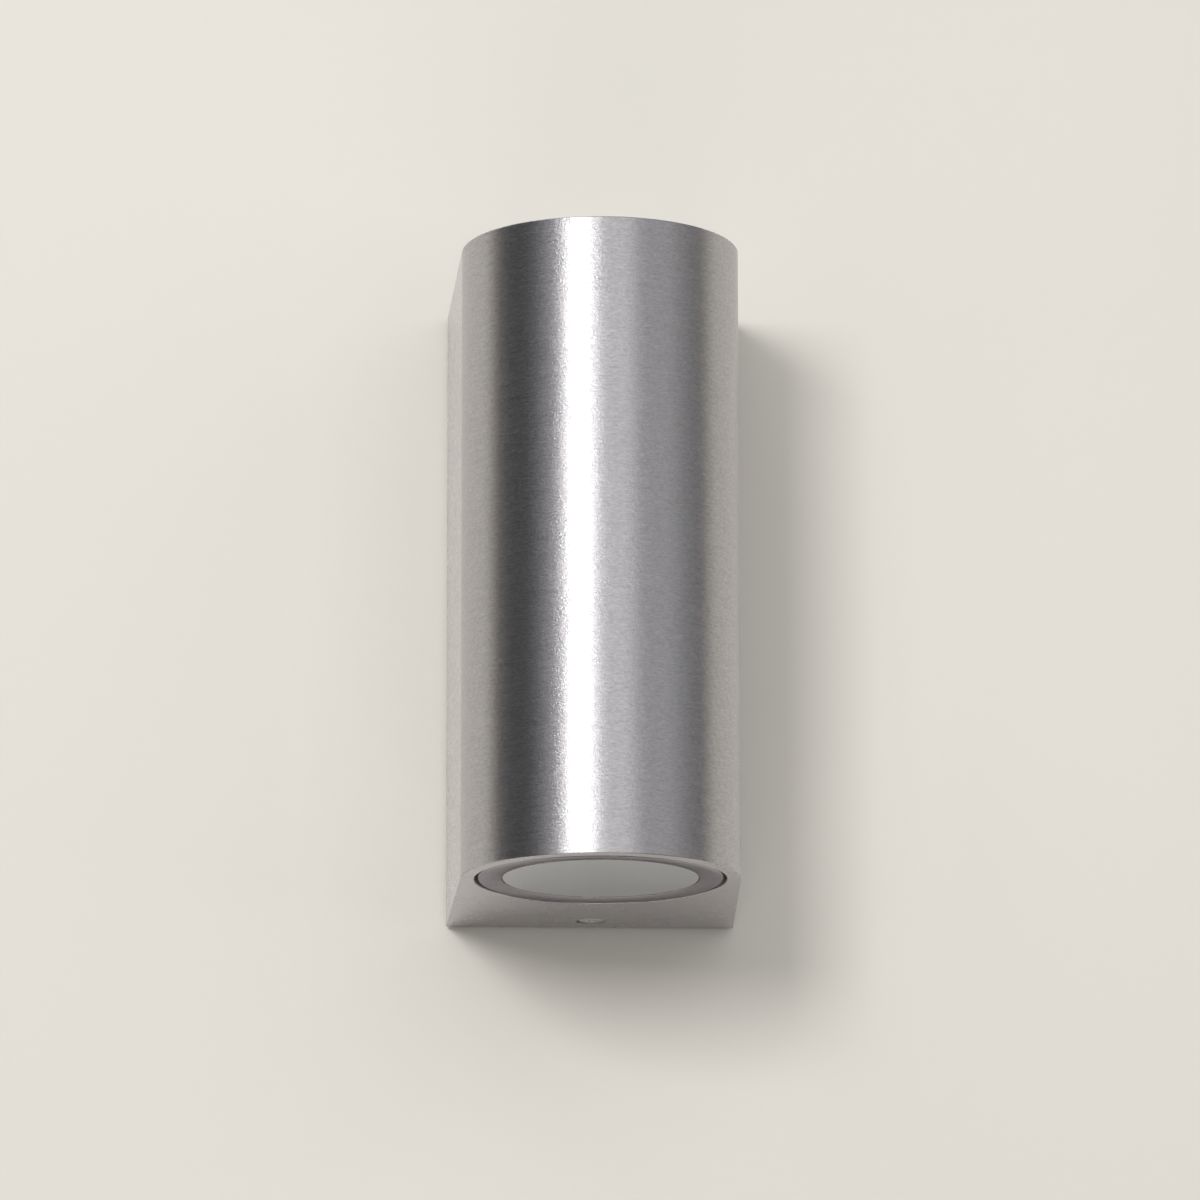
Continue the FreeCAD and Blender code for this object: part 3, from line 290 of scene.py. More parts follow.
# %% Set the world
world = bpy.data.worlds.new("studio_room")
bpy.context.scene.world = world
world.use_nodes = True
room = world.node_tree
room.nodes.clear()
dim = room.nodes.new("ShaderNodeBackground")
dim.inputs["Color"].default_value = (0.94, 0.96, 1.0, 1)
dim.inputs["Strength"].default_value = 0.1
pale = room.nodes.new("ShaderNodeBackground")
pale.inputs["Color"].default_value = (*WALL_PAINT, 1)
pale.inputs["Strength"].default_value = 1.0
path = room.nodes.new("ShaderNodeLightPath")
chosen = room.nodes.new("ShaderNodeMixShader")
end = room.nodes.new("ShaderNodeOutputWorld")
room.links.new(path.outputs["Is Camera Ray"], chosen.inputs["Fac"])
room.links.new(dim.outputs["Background"], chosen.inputs[1])
room.links.new(pale.outputs["Background"], chosen.inputs[2])
room.links.new(chosen.outputs["Shader"], end.inputs["Surface"])
print("world set")

# %% [markdown]
# ## Tools for shapes
# Three ways cover all pieces. Turned pieces are drawn as a profile and spun, as on a lathe. Screw
# threads are a small triangle swept along a helix by the Screw modifier. Where the CAD solid is
# already the right shape, a copy is merged into one skin, its sharp edges get a small bevel that
# catches the light, and its flats keep straight normals with Weighted Normal.

# %% Helpers: modelling
def edit_all(piece):
    """Enter edit mode on one piece with everything selected."""
    only(piece)
    bpy.ops.object.mode_set(mode="EDIT")
    bpy.ops.mesh.select_all(action="SELECT")


def leave_edit():
    """Back to object mode."""
    bpy.ops.object.mode_set(mode="OBJECT")


def apply_modifier(piece, kind, **settings):
    """Add a modifier, set it and apply it."""
    only(piece)
    bpy.ops.object.modifier_add(type=kind)
    modifier = piece.modifiers[-1]
    for key, value in settings.items():
        setattr(modifier, key, value)
    bpy.ops.object.modifier_apply(modifier=modifier.name)


def smooth(piece, degrees=32, weighted=True):
    """Smooth shading on curves, straight normals on flats."""
    only(piece)
    bpy.ops.object.shade_smooth_by_angle(angle=math.radians(degrees), keep_sharp_edges=False)
    if weighted:
        apply_modifier(piece, "WEIGHTED_NORMAL", keep_sharp=True, weight=90)


def turned(name, profile, steps=96, rounding=0.0, closed=False):
    """Spin a profile of (radius, height) points, in millimetres, about the z axis."""
    bpy.ops.object.select_all(action="DESELECT")
    start = (profile[0][0] * MM, 0, profile[0][1] * MM)
    bpy.ops.mesh.primitive_plane_add(size=MM, location=start)
    piece = bpy.context.object
    piece.name = piece.data.name = name
    bpy.ops.object.mode_set(mode="EDIT")
    bpy.ops.mesh.merge(type="CENTER")
    points = profile + profile[:1] if closed else profile
    for (r0, z0), (r1, z1) in zip(points, points[1:]):
        step = ((r1 - r0) * MM, 0, (z1 - z0) * MM)
        bpy.ops.mesh.extrude_region_move(TRANSFORM_OT_translate={"value": step})
    bpy.ops.mesh.select_all(action="SELECT")
    bpy.ops.mesh.remove_doubles(threshold=1e-6)
    if rounding:
        bpy.ops.mesh.bevel(offset=rounding * MM, segments=2, affect="VERTICES")
        bpy.ops.mesh.select_all(action="SELECT")
    bpy.ops.mesh.spin(steps=steps, angle=2 * math.pi, center=(0, 0, 0), axis=(0, 0, 1))
    bpy.ops.mesh.select_all(action="SELECT")
    bpy.ops.mesh.remove_doubles(threshold=1e-6)
    bpy.ops.mesh.normals_make_consistent(inside=False)
    leave_edit()
    return settle(piece)


def thread_ridge(name, crest, size, pitch, low, high, steps=48):
    """Right-hand helical ridge from low to high: a triangle under the Screw modifier."""
    bpy.ops.object.select_all(action="DESELECT")
    bpy.ops.mesh.primitive_circle_add(
        vertices=3,
        radius=size * MM,
        fill_type="NOTHING",
        location=((crest - size) * MM, 0, low * MM),
        rotation=(math.pi / 2, math.pi / 2, 0),
    )
    ridge = settle(bpy.context.object)
    ridge.name = name
    turns = (high - low) / pitch
    apply_modifier(
        ridge,
        "SCREW",
        angle=2 * math.pi * turns,
        screw_offset=(high - low) * MM,
        steps=int(steps * turns),
        render_steps=int(steps * turns),
        use_merge_vertices=False,
    )
    edit_all(ridge)
    bpy.ops.mesh.fill_holes(sides=3)
    bpy.ops.mesh.select_all(action="SELECT")
    bpy.ops.mesh.normals_make_consistent(inside=False)
    leave_edit()
    return ridge


def joined(pieces, name):
    """One piece from several."""
    bpy.ops.object.select_all(action="DESELECT")
    for piece in pieces:
        piece.select_set(True)
    bpy.context.view_layer.objects.active = pieces[0]
    if len(pieces) > 1:
        bpy.ops.object.join()
    piece = bpy.context.object
    piece.name = piece.data.name = name
    return piece


def copy_of(piece, name, place=None):
    """Copy with its own mesh, moved by a matrix that is then put into the mesh."""
    copy = piece.copy()
    copy.data = piece.data.copy()
    copy.name = copy.data.name = name
    bpy.context.scene.collection.objects.link(copy)
    if place is not None:
        copy.matrix_world = place
        settle(copy)
    return copy


def skin_of(node, name, bevel=0.0, segments=2, degrees=32, flatten=False):
    """Merged copy of a CAD solid, with its flats whole and its sharp edges bevelled."""
    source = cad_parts[node]
    piece = bpy.data.objects.new(name, source.data.copy())
    bpy.context.scene.collection.objects.link(piece)
    piece.data.materials.clear()
    edit_all(piece)
    bpy.ops.mesh.remove_doubles(threshold=2e-6)
    if bevel or flatten:
        bpy.ops.mesh.dissolve_limited(angle_limit=math.radians(0.4))
    leave_edit()
    if bevel:
        apply_modifier(
            piece,
            "BEVEL",
            width=bevel * MM,
            segments=segments,
            limit_method="ANGLE",
            angle_limit=math.radians(40),
            harden_normals=False,
        )
    smooth(piece, degrees)
    return piece


LOWER = Matrix.Rotation(math.pi, 4, "Y")  # turns a piece of the upper end over to the lower end


def fit(piece, body, nodes, slot, *materials):
    """Give a piece its finish, its body and the CAD nodes that it stands for."""
    if materials:
        piece.data.materials.clear()
        for material in materials:
            piece.data.materials.append(material)
    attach(piece, body)
    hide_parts(*nodes)
    triangles = sum(len(face.vertices) - 2 for face in piece.data.polygons)
    print(piece.name, "on", body, "with", triangles, "triangles")


print("shape helpers ready")

# %% [markdown]
# ## Brushed metal of the housing
# The housing is an aluminium casting whose round front was brushed round and round, so it carries
# fine level scratches. They spread a highlight up and down but keep its sides fairly sharp, which
# is why the bands run the full height. Stretched noise does this: long across, thin in height. A
# second, even noise is the frosty pitting that shows at the edges of the bands.

# %% Finish: brushed front
def brushed_aluminium(name="brushed_aluminium", wide=0.36, stretch=0.9, depth=0.00005, light=1.0):
    """Level scratches: the highlight is drawn out upright and stays sharp sideways."""
    material, shader = new_finish(name, metallic=1.0, roughness=wide)
    shader.inputs["Anisotropic"].default_value = stretch
    upright = add_node(material, "ShaderNodeCombineXYZ", {"Z": 1.0})
    join(material, upright.outputs["Vector"], shader.inputs["Tangent"])
    scratches = noise(material, placed(material, scale=(900, 900, 2600)), detail=3, rough=0.7)
    drag = noise(material, placed(material, scale=(160, 160, 1500)), detail=2)
    pitting = noise(material, placed(material, scale=(2400, 2400, 2800)), detail=2, rough=0.7)
    streaks = add_node(material, "ShaderNodeMix", {"Factor": 0.3})
    join(material, scratches, streaks.inputs["A"])
    join(material, drag, streaks.inputs["B"])
    worn = span(material, streaks.outputs["Result"], 0, 1, 0.34, 0.66)
    dull, bright = (0.38, 0.369, 0.38), (0.57, 0.555, 0.568)
    # light above 1 lifts both tones: a painted sheen, metal made paler to stand in for the bright
    # wall that the face mirrors.
    sheen_lifted_tones = [tuple(min(1.0, part * light) for part in shade) for shade in (dull, bright)]
    tone = blend_colours(material, worn, *sheen_lifted_tones)
    join(material, tone, shader.inputs["Base Color"])
    join(material, span(material, drag, wide - 0.03, wide + 0.03), shader.inputs["Roughness"])
    under = relief(material, shader, pitting, depth * 0.9)
    relief(material, shader, scratches, depth, under)
    return material


# %% [markdown]
# ## Satin end faces and the raw inside
# The end faces were linished flat before the ring seats were turned, which leaves a quiet satin
# with hardly any lines. Inside, the casting is as it came from the mould: duller, a little darker
# and with a slight orange-peel skin.

# %% Finishes: satin ends, cast inside
def satin_aluminium():
    material, shader = new_finish("satin_aluminium", metallic=1.0, roughness=0.26)
    lines = noise(material, placed(material, scale=(2600, 200, 200)), detail=3)
    cloud = noise(material, placed(material, scale=(90, 90, 90)), detail=3)
    tone = blend_colours(material, lines, (0.49, 0.47, 0.498), (0.55, 0.528, 0.558))
    join(material, tone, shader.inputs["Base Color"])
    join(material, span(material, cloud, 0.23, 0.3), shader.inputs["Roughness"])
    pores = noise(material, placed(material, scale=(2600, 2600, 2600)), detail=2)
    under = relief(material, shader, pores, 0.000008)
    relief(material, shader, lines, 0.000007, under)
    return material


def cast_aluminium():
    material, shader = new_finish("cast_aluminium", metallic=1.0, roughness=0.5)
    skin = noise(material, placed(material, scale=(700, 700, 700)), detail=4)
    flow = noise(material, placed(material, scale=(60, 60, 25)), detail=3)
    tone = blend_colours(material, flow, (0.42, 0.42, 0.43), (0.56, 0.56, 0.57))
    join(material, tone, shader.inputs["Base Color"])
    join(material, span(material, skin, 0.45, 0.62), shader.inputs["Roughness"])
    relief(material, shader, skin, 0.00006)
    return material


brushed = brushed_aluminium()
# The flat sides take a copy whose tones are lifted by 1.15: a painted sheen for the lit wall that
# they mirror at a glancing angle, with less roughness and a finer bump.
side_painted_sheen = brushed_aluminium("side_aluminium_painted_sheen", 0.28, 0.85, 0.00001, 1.15)
satin = satin_aluminium()
cast = cast_aluminium()
print("housing finishes:", brushed.name, satin.name, cast.name)

# %% [markdown]
# ## The housing
# The CAD solid has the true shape, ribs and seats included, so a merged copy becomes the piece.
# Its faces are then sorted in code: an outward face on the round front or a flat side is brushed,
# a level face at either end is satin, and all that lies inside keeps the cast skin.

# %% Dress the housing
housing = skin_of("housing", "housing_dressed", degrees=38, flatten=True)


END_DEPTH = 0.0006  # of the end zone, in from an end face
FRONT_WALL, SIDE_WALL = 0.003, 0.0036  # from the ring's edge to the skin


def housing_zone(face):
    """0 for the brushed front, 1 for the end faces, 2 for the inside, 3 for the flat sides."""
    centre, normal = face.center, face.normal
    if abs(normal.z) > 0.6 and abs(centre.z) > END_Z - END_DEPTH:
        return 1
    from_axis = Vector((centre.x, min(0.0, centre.y - LAMP_Y), 0))
    outwards = normal.dot(from_axis) > 0
    front = centre.y <= LAMP_Y and from_axis.length > RING_RADIUS + FRONT_WALL
    side = centre.y > LAMP_Y and abs(centre.x) > RING_RADIUS + SIDE_WALL
    if not outwards or not (front or side):
        return 2
    return 3 if side and abs(normal.x) > 0.99 else 0


# Zone 3, the flat sides, takes the lifted copy, whose paler tones are a painted sheen.
fit(housing, "fitting", ["housing"], "cast_housing", brushed, satin, cast, side_painted_sheen)
for face in housing.data.polygons:
    face.material_index = housing_zone(face)
zones = [face.material_index for face in housing.data.polygons]
print("faces brushed, satin, cast, side:", [zones.count(zone) for zone in range(4)])

# %% [markdown]
# ## The foam strip
# Between the housing's rim and the wall is a thin foam strip, seen only as a dark line. It is a
# copy of the solid with softened edges and small closed cells in its skin.

# %% Finish and dress the foam strip
def foam():
    material, shader = new_finish("closed_cell_foam", roughness=0.9)
    cells = add_node(material, "ShaderNodeTexVoronoi", {"Scale": 1.0})
    join(material, placed(material, scale=(2500, 2500, 2500)), cells.inputs["Vector"])
    cloud = noise(material, placed(material, scale=(200, 200, 200)))
    tone = blend_colours(material, cloud, (0.018, 0.018, 0.019), (0.04, 0.04, 0.042))
    join(material, tone, shader.inputs["Base Color"])
    relief(material, shader, cells.outputs["Distance"], 0.00012)
    return material


strip = skin_of("wall_gasket", "wall_seal_strip", bevel=0.15)
fit(strip, "fitting", ["wall_gasket"], "foam_seal", foam())

# %% [markdown]
# ## The screwed ring
# Each ring is turned from bar: a dished and bevelled face, a thin flange and a threaded skirt that
# only shows when the ring is screwed out. The profile is spun, its corners slightly rounded, and a
# helical ridge is swept round the skirt. The tool leaves circles on the face, so the finish reads
# the distance from the ring's own axis.

# %% Finish: turned metal
def turned_metal(name, dark, light, lines, rough, depth, edge=(1, 1, 1)):
    """Concentric tool marks about the lamp axis, with the tint that the metal has at its edge."""
    material, shader = new_finish(name, metallic=1.0, roughness=rough)
    shader.inputs["Specular Tint"].default_value = (*edge, 1)
    centred = placed(material, centre=(0, LAMP_Y, 0))
    flat = add_node(material, "ShaderNodeVectorMath", operation="MULTIPLY")
    flat.inputs[1].default_value = (1, 1, 0)
    join(material, centred, flat.inputs[0])
    radius = add_node(material, "ShaderNodeVectorMath", operation="LENGTH")
    join(material, flat.outputs["Vector"], radius.inputs[0])
    split = add_node(material, "ShaderNodeSeparateXYZ")
    join(material, centred, split.inputs["Vector"])
    packed = add_node(material, "ShaderNodeCombineXYZ")
    join(material, radius.outputs["Value"], packed.inputs["X"])
    join(material, split.outputs["Z"], packed.inputs["Y"])
    marks = noise(material, packed.outputs["Vector"], size=lines, detail=3, rough=0.7)
    cloud = noise(material, placed(material, scale=(120, 120, 120)))
    tone = blend_colours(material, marks, dark, light)
    join(material, tone, shader.inputs["Base Color"])
    join(material, span(material, cloud, rough - 0.04, rough + 0.05), shader.inputs["Roughness"])
    relief(material, shader, marks, depth)
    return material


ring_metal = turned_metal(
    "turned_ring_metal",
    (0.33, 0.32, 0.333),
    (0.42, 0.408, 0.424),
    3000,
    0.24,
    0.000008,
    edge=(0.64, 0.62, 0.65),
)

# %% Spin the upper ring and cut its thread, then turn a copy over
OPENING = 22.87
OUTER = RING_RADIUS / MM
SKIRT_END = -SKIRT_LENGTH / MM
SKIRT_OUTER, SKIRT_INNER = 27.45, 26.9
DISH, BEVEL, FLANGE, LIP = 0.3, 0.5, 1.5, 2.0
THREAD_CREST, THREAD_SIZE, THREAD_PITCH = 28.0, 0.72, 1.5
ring_profile = [
    (OPENING, -DISH),
    (OUTER - BEVEL, 0),
    (OUTER, -BEVEL),
    (OUTER, -FLANGE),
    (SKIRT_OUTER, -FLANGE),
    (SKIRT_OUTER, SKIRT_END),
    (SKIRT_INNER, SKIRT_END),
    (SKIRT_INNER, -LIP),
    (OPENING, -LIP),
]
ring_body = turned("ring_body", ring_profile, steps=192, rounding=0.07, closed=True)
thread = (THREAD_CREST, THREAD_SIZE, THREAD_PITCH)
ridge = thread_ridge("ring_thread", *thread, SKIRT_END + 0.55, -1.95, steps=120)
upper_ring = joined([ring_body, ridge], "upper_ring_turned")
upper_ring.matrix_world = Matrix.Translation((0, LAMP_Y, END_Z))
settle(upper_ring)
smooth(upper_ring, 40, weighted=False)
lower_ring = copy_of(upper_ring, "lower_ring_turned", LOWER)
fit(upper_ring, "upper_ring", ["upper_lens_ring"], "ring_aluminium", ring_metal)
fit(lower_ring, "lower_ring", ["lower_lens_ring"], "ring_aluminium", ring_metal)

# %% [markdown]
# ## The frosted glass
# The glass is a thick disc with a step: its face stands in the ring's opening and its rim lies
# under the ring's lip. Its face is acid-frosted, so it scatters light and shows the lamp behind
# only as a soft paler middle. The blasting is on the inside and the outside is still polished, so
# the finish is a rough body that lets part of the light through, under a clear coat.

# %% Finish and spin the glasses
def frosted_glass():
    material, shader = new_finish("frosted_glass", roughness=0.5)
    shader.inputs["IOR"].default_value = 1.5
    shader.inputs["Specular IOR Level"].default_value = 0.2
    shader.inputs["Transmission Weight"].default_value = 0.35
    shader.inputs["Coat Weight"].default_value = 1.0
    shader.inputs["Coat Roughness"].default_value = 0.1
    cloud = noise(material, placed(material, scale=(70, 70, 70)), detail=4)
    tone = blend_colours(material, cloud, (0.49, 0.505, 0.555), (0.54, 0.555, 0.595))
    join(material, tone, shader.inputs["Base Color"])
    frost = noise(material, placed(material, scale=(3500, 3500, 3500)), detail=3)
    join(material, span(material, frost, 0.44, 0.58), shader.inputs["Roughness"])
    relief(material, shader, frost, 0.00001)
    return material


FACE = (END_Z - glass_high[2]) / MM - 0.12
BACK = (END_Z - glass_low[2]) / MM
GLASS_RADIUS = (glass_high[0] - glass_low[0]) / 2 / MM
STEP = OPENING - 0.1
STEP_EDGE, RIM_EDGE = 0.15, 0.2
glass_profile = [
    (0, -FACE),
    (STEP - STEP_EDGE, -FACE),
    (STEP, -FACE - STEP_EDGE),
    (STEP, -LIP),
    (GLASS_RADIUS - RIM_EDGE, -LIP),
    (GLASS_RADIUS, -LIP - RIM_EDGE),
    (GLASS_RADIUS, -BACK + RIM_EDGE),
    (GLASS_RADIUS - RIM_EDGE, -BACK),
    (0, -BACK),
]
glass_finish = frosted_glass()
upper_glass = turned("upper_glass_frosted", glass_profile, steps=128)
upper_glass.matrix_world = Matrix.Translation((0, LAMP_Y, END_Z))
settle(upper_glass)
smooth(upper_glass, 50)
lower_glass = copy_of(upper_glass, "lower_glass_frosted", LOWER)
fit(upper_glass, "upper_lens", ["upper_lens_glass"], "frosted_glass", glass_finish)
fit(lower_glass, "lower_lens", ["lower_lens_glass"], "frosted_glass", glass_finish)

# %% [markdown]
# ## The silicone seals
# Under each glass lies an L-shaped silicone seal. It is soft, milky and a little shiny, so some
# light goes in and comes out again, which Subsurface gives.

# %% Finish and dress the seals
def milky_silicone():
    material, shader = new_finish("milky_silicone", roughness=0.45)
    shader.inputs["Subsurface Weight"].default_value = 0.3
    shader.inputs["Subsurface Scale"].default_value = 0.002
    haze = noise(material, placed(material, scale=(300, 300, 300)))
    tone = blend_colours(material, haze, (0.60, 0.59, 0.56), (0.70, 0.69, 0.66))
    join(material, tone, shader.inputs["Base Color"])
    relief(material, shader, haze, 0.00002)
    return material


silicone = milky_silicone()
for end_name in ("upper", "lower"):
    seal = skin_of(f"{end_name}_lens_gasket", f"{end_name}_seal_dressed")
    fit(seal, f"{end_name}_lens", [f"{end_name}_lens_gasket"], "silicone", silicone)

# %% [markdown]
# ## Screws
# A pan head screw has a domed head with a cross recess and a rolled thread. One is made per size:
# the head and shank are spun, the recess is cut with two tapered bars, and the thread ridge is
# joined on. The screw is drawn standing on its seat at the origin with its head up, then copies
# are laid in place.

# %% Finish: screw steel
def screw_steel():
    material, shader = new_finish("screw_steel", metallic=1.0, roughness=0.34)
    specks = noise(material, placed(material, scale=(1800, 1800, 1800)), detail=3)
    tone = blend_colours(material, specks, (0.74, 0.73, 0.71), (0.86, 0.85, 0.83))
    join(material, tone, shader.inputs["Base Color"])
    join(material, span(material, specks, 0.28, 0.4), shader.inputs["Roughness"])
    relief(material, shader, specks, 0.00001)
    return material


steel = screw_steel()


# %% Build one screw of each size
M3_CORE, M3_CREST, M3_PITCH = 1.24, 1.5, 0.5
END_HEAD, SMALL_HEAD = (3.1, 2.2), (2.75, 2.0)


def taper_bar(length, width, depth, top):
    """Cutter for one wing of a cross recess, narrower at its floor."""
    bpy.ops.object.select_all(action="DESELECT")
    bpy.ops.mesh.primitive_cube_add(size=1, location=(0, 0, (top - depth / 2) * MM))
    bar = bpy.context.object
    bar.scale = (length * MM, width * MM, depth * MM)
    settle(bar)
    edit_all(bar)
    bpy.ops.mesh.select_all(action="DESELECT")
    leave_edit()
    lowest = min(vertex.co.z for vertex in bar.data.vertices)
    for vertex in bar.data.vertices:
        vertex.select = vertex.co.z < lowest + 1e-6
    bpy.ops.object.mode_set(mode="EDIT")
    bpy.ops.transform.resize(value=(0.4, 0.6, 1), center_override=(0, 0, lowest))
    leave_edit()
    return bar


def cut(piece, cutter):
    """Boolean the cutter out of the piece and delete it."""
    apply_modifier(piece, "BOOLEAN", operation="DIFFERENCE", object=cutter, solver="EXACT")
    bpy.data.objects.remove(cutter, do_unlink=True)


def pan_screw(name, head_radius, head_height, length):
    """Screw on its seat at the origin, head up, in millimetres."""
    crown = head_height * 0.2
    profile = [
        (0, head_height),
        (head_radius - 2.6 * crown, head_height - 0.05),
        (head_radius - crown, head_height - 0.22 * crown),
        (head_radius - 0.32 * crown, head_height - 0.62 * crown),
        (head_radius, head_height - 1.5 * crown),
        (head_radius, 0.12),
        (head_radius - 0.12, 0),
        (M3_CORE, 0),
        (M3_CORE, -length + 0.35),
        (0.9, -length),
        (0, -length),
    ]
    screw = turned(name, profile, steps=40)
    wing, thin = head_radius * 1.02, head_radius * 0.24
    deep, top = head_height * 0.66, head_height + 0.1
    cut(screw, taper_bar(wing, thin, deep, top))
    cut(screw, taper_bar(thin, wing, deep, top))
    thread = (M3_CREST, 0.29, M3_PITCH)
    ridge = thread_ridge(name + "_thread", *thread, -length + 0.2, -0.6, steps=20)
    screw = joined([screw, ridge], name)
    smooth(screw, 30, weighted=False)
    return screw


def seats_of(node):
    """Middles of the separate solids in a CAD node, with their boxes, sorted by place."""
    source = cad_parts[node]
    solids = bpy.data.objects.new("solids", source.data.copy())
    bpy.context.scene.collection.objects.link(solids)
    edit_all(solids)
    bpy.ops.mesh.remove_doubles(threshold=2e-6)
    bpy.ops.mesh.separate(type="LOOSE")
    leave_edit()
    found = []
    for part in list(bpy.context.selected_objects):
        corners = [vertex.co.copy() for vertex in part.data.vertices]
        low = Vector([min(corner[axis] for corner in corners) for axis in range(3)])
        high = Vector([max(corner[axis] for corner in corners) for axis in range(3)])
        found.append((low, high))
        bpy.data.objects.remove(part, do_unlink=True)
    return sorted(found, key=lambda pair: (round(pair[0].x, 4), round(pair[0].z, 4)))


def fasteners(name, node, master, outward, turns):
    """Lay a copy of the master on each solid of a node. outward(low, high) is the way that the
    heads look, as a unit vector."""
    copies = []
    for index, (low, high) in enumerate(seats_of(node)):
        out = outward(low, high)
        middle = (low + high) / 2
        reach = (high - low) / 2
        tip = middle + Vector([out[axis] * reach[axis] for axis in range(3)])
        head = max(vertex.co.z for vertex in master.data.vertices)
        place = (
            Matrix.Translation(tip - out * head)
            @ out.to_track_quat("Z", "Y").to_matrix().to_4x4()
            @ Matrix.Rotation(math.radians(turns[index % len(turns)]), 4, "Z")
        )
        copies.append(copy_of(master, f"{name}_{index}", place))
    piece = joined(copies, name)
    fit(piece, "fitting", [node], "screw_steel", steel)


def away_from_middle(low, high):
    return Vector((0, 0, 1 if low.z + high.z > 0 else -1))


def toward_wall(low, high):
    return Vector((0, 1, 0))


def toward_front(low, high):
    return Vector((0, -1, 0))


def upwards(low, high):
    return Vector((0, 0, 1))


def length_of(node, axis, head):
    low, high = seats_of(node)[0]
    return (high[axis] - low[axis]) / MM - head


end_screw = pan_screw("end_screw", *END_HEAD, length_of("housing_screws", 2, END_HEAD[1]))
fasteners("end_screws_cross", "housing_screws", end_screw, away_from_middle, [38])
tab_screw = pan_screw("tab_screw", *SMALL_HEAD, length_of("bridge_screws", 1, SMALL_HEAD[1]))
fasteners("tab_screws_cross", "bridge_screws", tab_screw, toward_wall, [15, 62])
foot_screw = pan_screw("foot_screw", *SMALL_HEAD, length_of("block_screws", 1, SMALL_HEAD[1]))
fasteners("foot_screws_cross", "block_screws", foot_screw, toward_front, [50, 7])
clamp_bolt = pan_screw("clamp_bolt", *SMALL_HEAD, length_of("holder_bolts", 2, SMALL_HEAD[1]))
fasteners("clamp_bolts_cross", "holder_bolts", clamp_bolt, upwards, [28, 71])
for master in (end_screw, tab_screw, foot_screw, clamp_bolt):
    bpy.data.objects.remove(master, do_unlink=True)
print("screws laid in place")

# %% [markdown]
# ## The terminal screws
# These are headless clamping screws with a plain slot, sunk in the towers of the block. A spun
# stub with rounded ends gets one straight slot.

# %% Build the terminal screws
def slotted_screw(name, length):
    """Headless screw with its top at the origin."""
    profile = [(0, 0), (1.2, 0), (1.4, -0.2), (1.4, -length + 0.4), (1.0, -length), (0, -length)]
    screw = turned(name, profile, steps=32)
    bpy.ops.object.select_all(action="DESELECT")
    bpy.ops.mesh.primitive_cube_add(size=1, location=(0, 0, 0))
    slot = bpy.context.object
    slot.scale = (4 * MM, 0.5 * MM, 1.6 * MM)
    settle(slot)
    cut(screw, slot)
    thread = (M3_CREST, 0.27, M3_PITCH)
    ridge = thread_ridge(name + "_thread", *thread, -length + 0.4, -0.9, steps=16)
    screw = joined([screw, ridge], name)
    smooth(screw, 30, weighted=False)
    return screw


stub = slotted_screw("stub", length_of("terminal_screws", 1, 0))
fasteners("terminal_screws_slotted", "terminal_screws", stub, toward_front, [10, 65, 120, 33])
bpy.data.objects.remove(stub, do_unlink=True)

# %% [markdown]
# ## Zinc plated sheet and nuts
# The wall bracket and the bridge are punched and bent from steel sheet and zinc plated. Zinc is
# bluish, softly mottled and duller than the screws, and the punched edges are slightly broken,
# which the small bevel shows. The nuts are plated too.

# %% Finish and dress the plated pieces
def zinc_plate():
    material, shader = new_finish("zinc_plate", metallic=1.0, roughness=0.36)
    patches = add_node(material, "ShaderNodeTexVoronoi", {"Scale": 1.0, "Randomness": 1.0})
    join(material, placed(material, scale=(420, 420, 420)), patches.inputs["Vector"])
    mottle = noise(material, placed(material, scale=(140, 140, 140)), detail=4)
    rolled = noise(material, placed(material, scale=(2600, 2600, 120)), detail=2)
    value = add_node(material, "ShaderNodeSeparateColor")
    join(material, patches.outputs["Color"], value.inputs["Color"])
    grain = add_node(material, "ShaderNodeMix", {"Factor": 0.4})
    join(material, mottle, grain.inputs["A"])
    join(material, value.outputs["Red"], grain.inputs["B"])
    tone = blend_colours(material, grain.outputs["Result"], (0.50, 0.52, 0.54), (0.66, 0.67, 0.68))
    join(material, tone, shader.inputs["Base Color"])
    join(material, span(material, mottle, 0.3, 0.46), shader.inputs["Roughness"])
    relief(material, shader, rolled, 0.000006)
    return material


zinc = zinc_plate()
plated = {
    "wall_bracket": ("wall_bracket_plated", 0.12),
    "holder_bridge": ("holder_bridge_plated", 0.12),
    "bracket_nuts": ("bracket_nuts_plated", 0.15),
    "holder_nuts": ("holder_nuts_plated", 0.15),
}
for node, (name, bevel) in plated.items():
    fit(skin_of(node, name, bevel=bevel), "fitting", [node], "zinc_steel", zinc)

# %% [markdown]
# ## Rubber bush
# The inlet bush is moulded rubber: black, matt and slightly dusty, with rounded lips.

# %% Finish and dress the bush
def soft_rubber():
    material, shader = new_finish("soft_rubber", roughness=0.7)
    shader.inputs["Specular IOR Level"].default_value = 0.35
    dust = noise(material, placed(material, scale=(450, 450, 450)), detail=4)
    tone = blend_colours(material, dust, (0.014, 0.014, 0.014), (0.045, 0.045, 0.046))
    join(material, tone, shader.inputs["Base Color"])
    join(material, span(material, dust, 0.6, 0.8), shader.inputs["Roughness"])
    relief(material, shader, dust, 0.00004)
    return material


bush = skin_of("cable_bush", "inlet_bush_rubber", bevel=0.3, segments=3)
fit(bush, "fitting", ["cable_bush"], "black_rubber", soft_rubber())

# %% [markdown]
# ## Terminal block and its brass
# The block is moulded nylon, milky white with soft edges and a faint moulded texture. In it lie
# three drawn brass tubes, and the earth tag and the spring contacts are brass as well.

# %% Finish and dress the block and the brass
def white_nylon():
    material, shader = new_finish("white_nylon", roughness=0.42)
    shader.inputs["Subsurface Weight"].default_value = 0.15
    shader.inputs["Subsurface Scale"].default_value = 0.0015
    cloud = noise(material, placed(material, scale=(250, 250, 250)), detail=3)
    tone = blend_colours(material, cloud, (0.70, 0.70, 0.67), (0.77, 0.77, 0.74))
    join(material, tone, shader.inputs["Base Color"])
    spark = noise(material, placed(material, scale=(2200, 2200, 2200)), detail=2)
    relief(material, shader, spark, 0.00003)
    return material


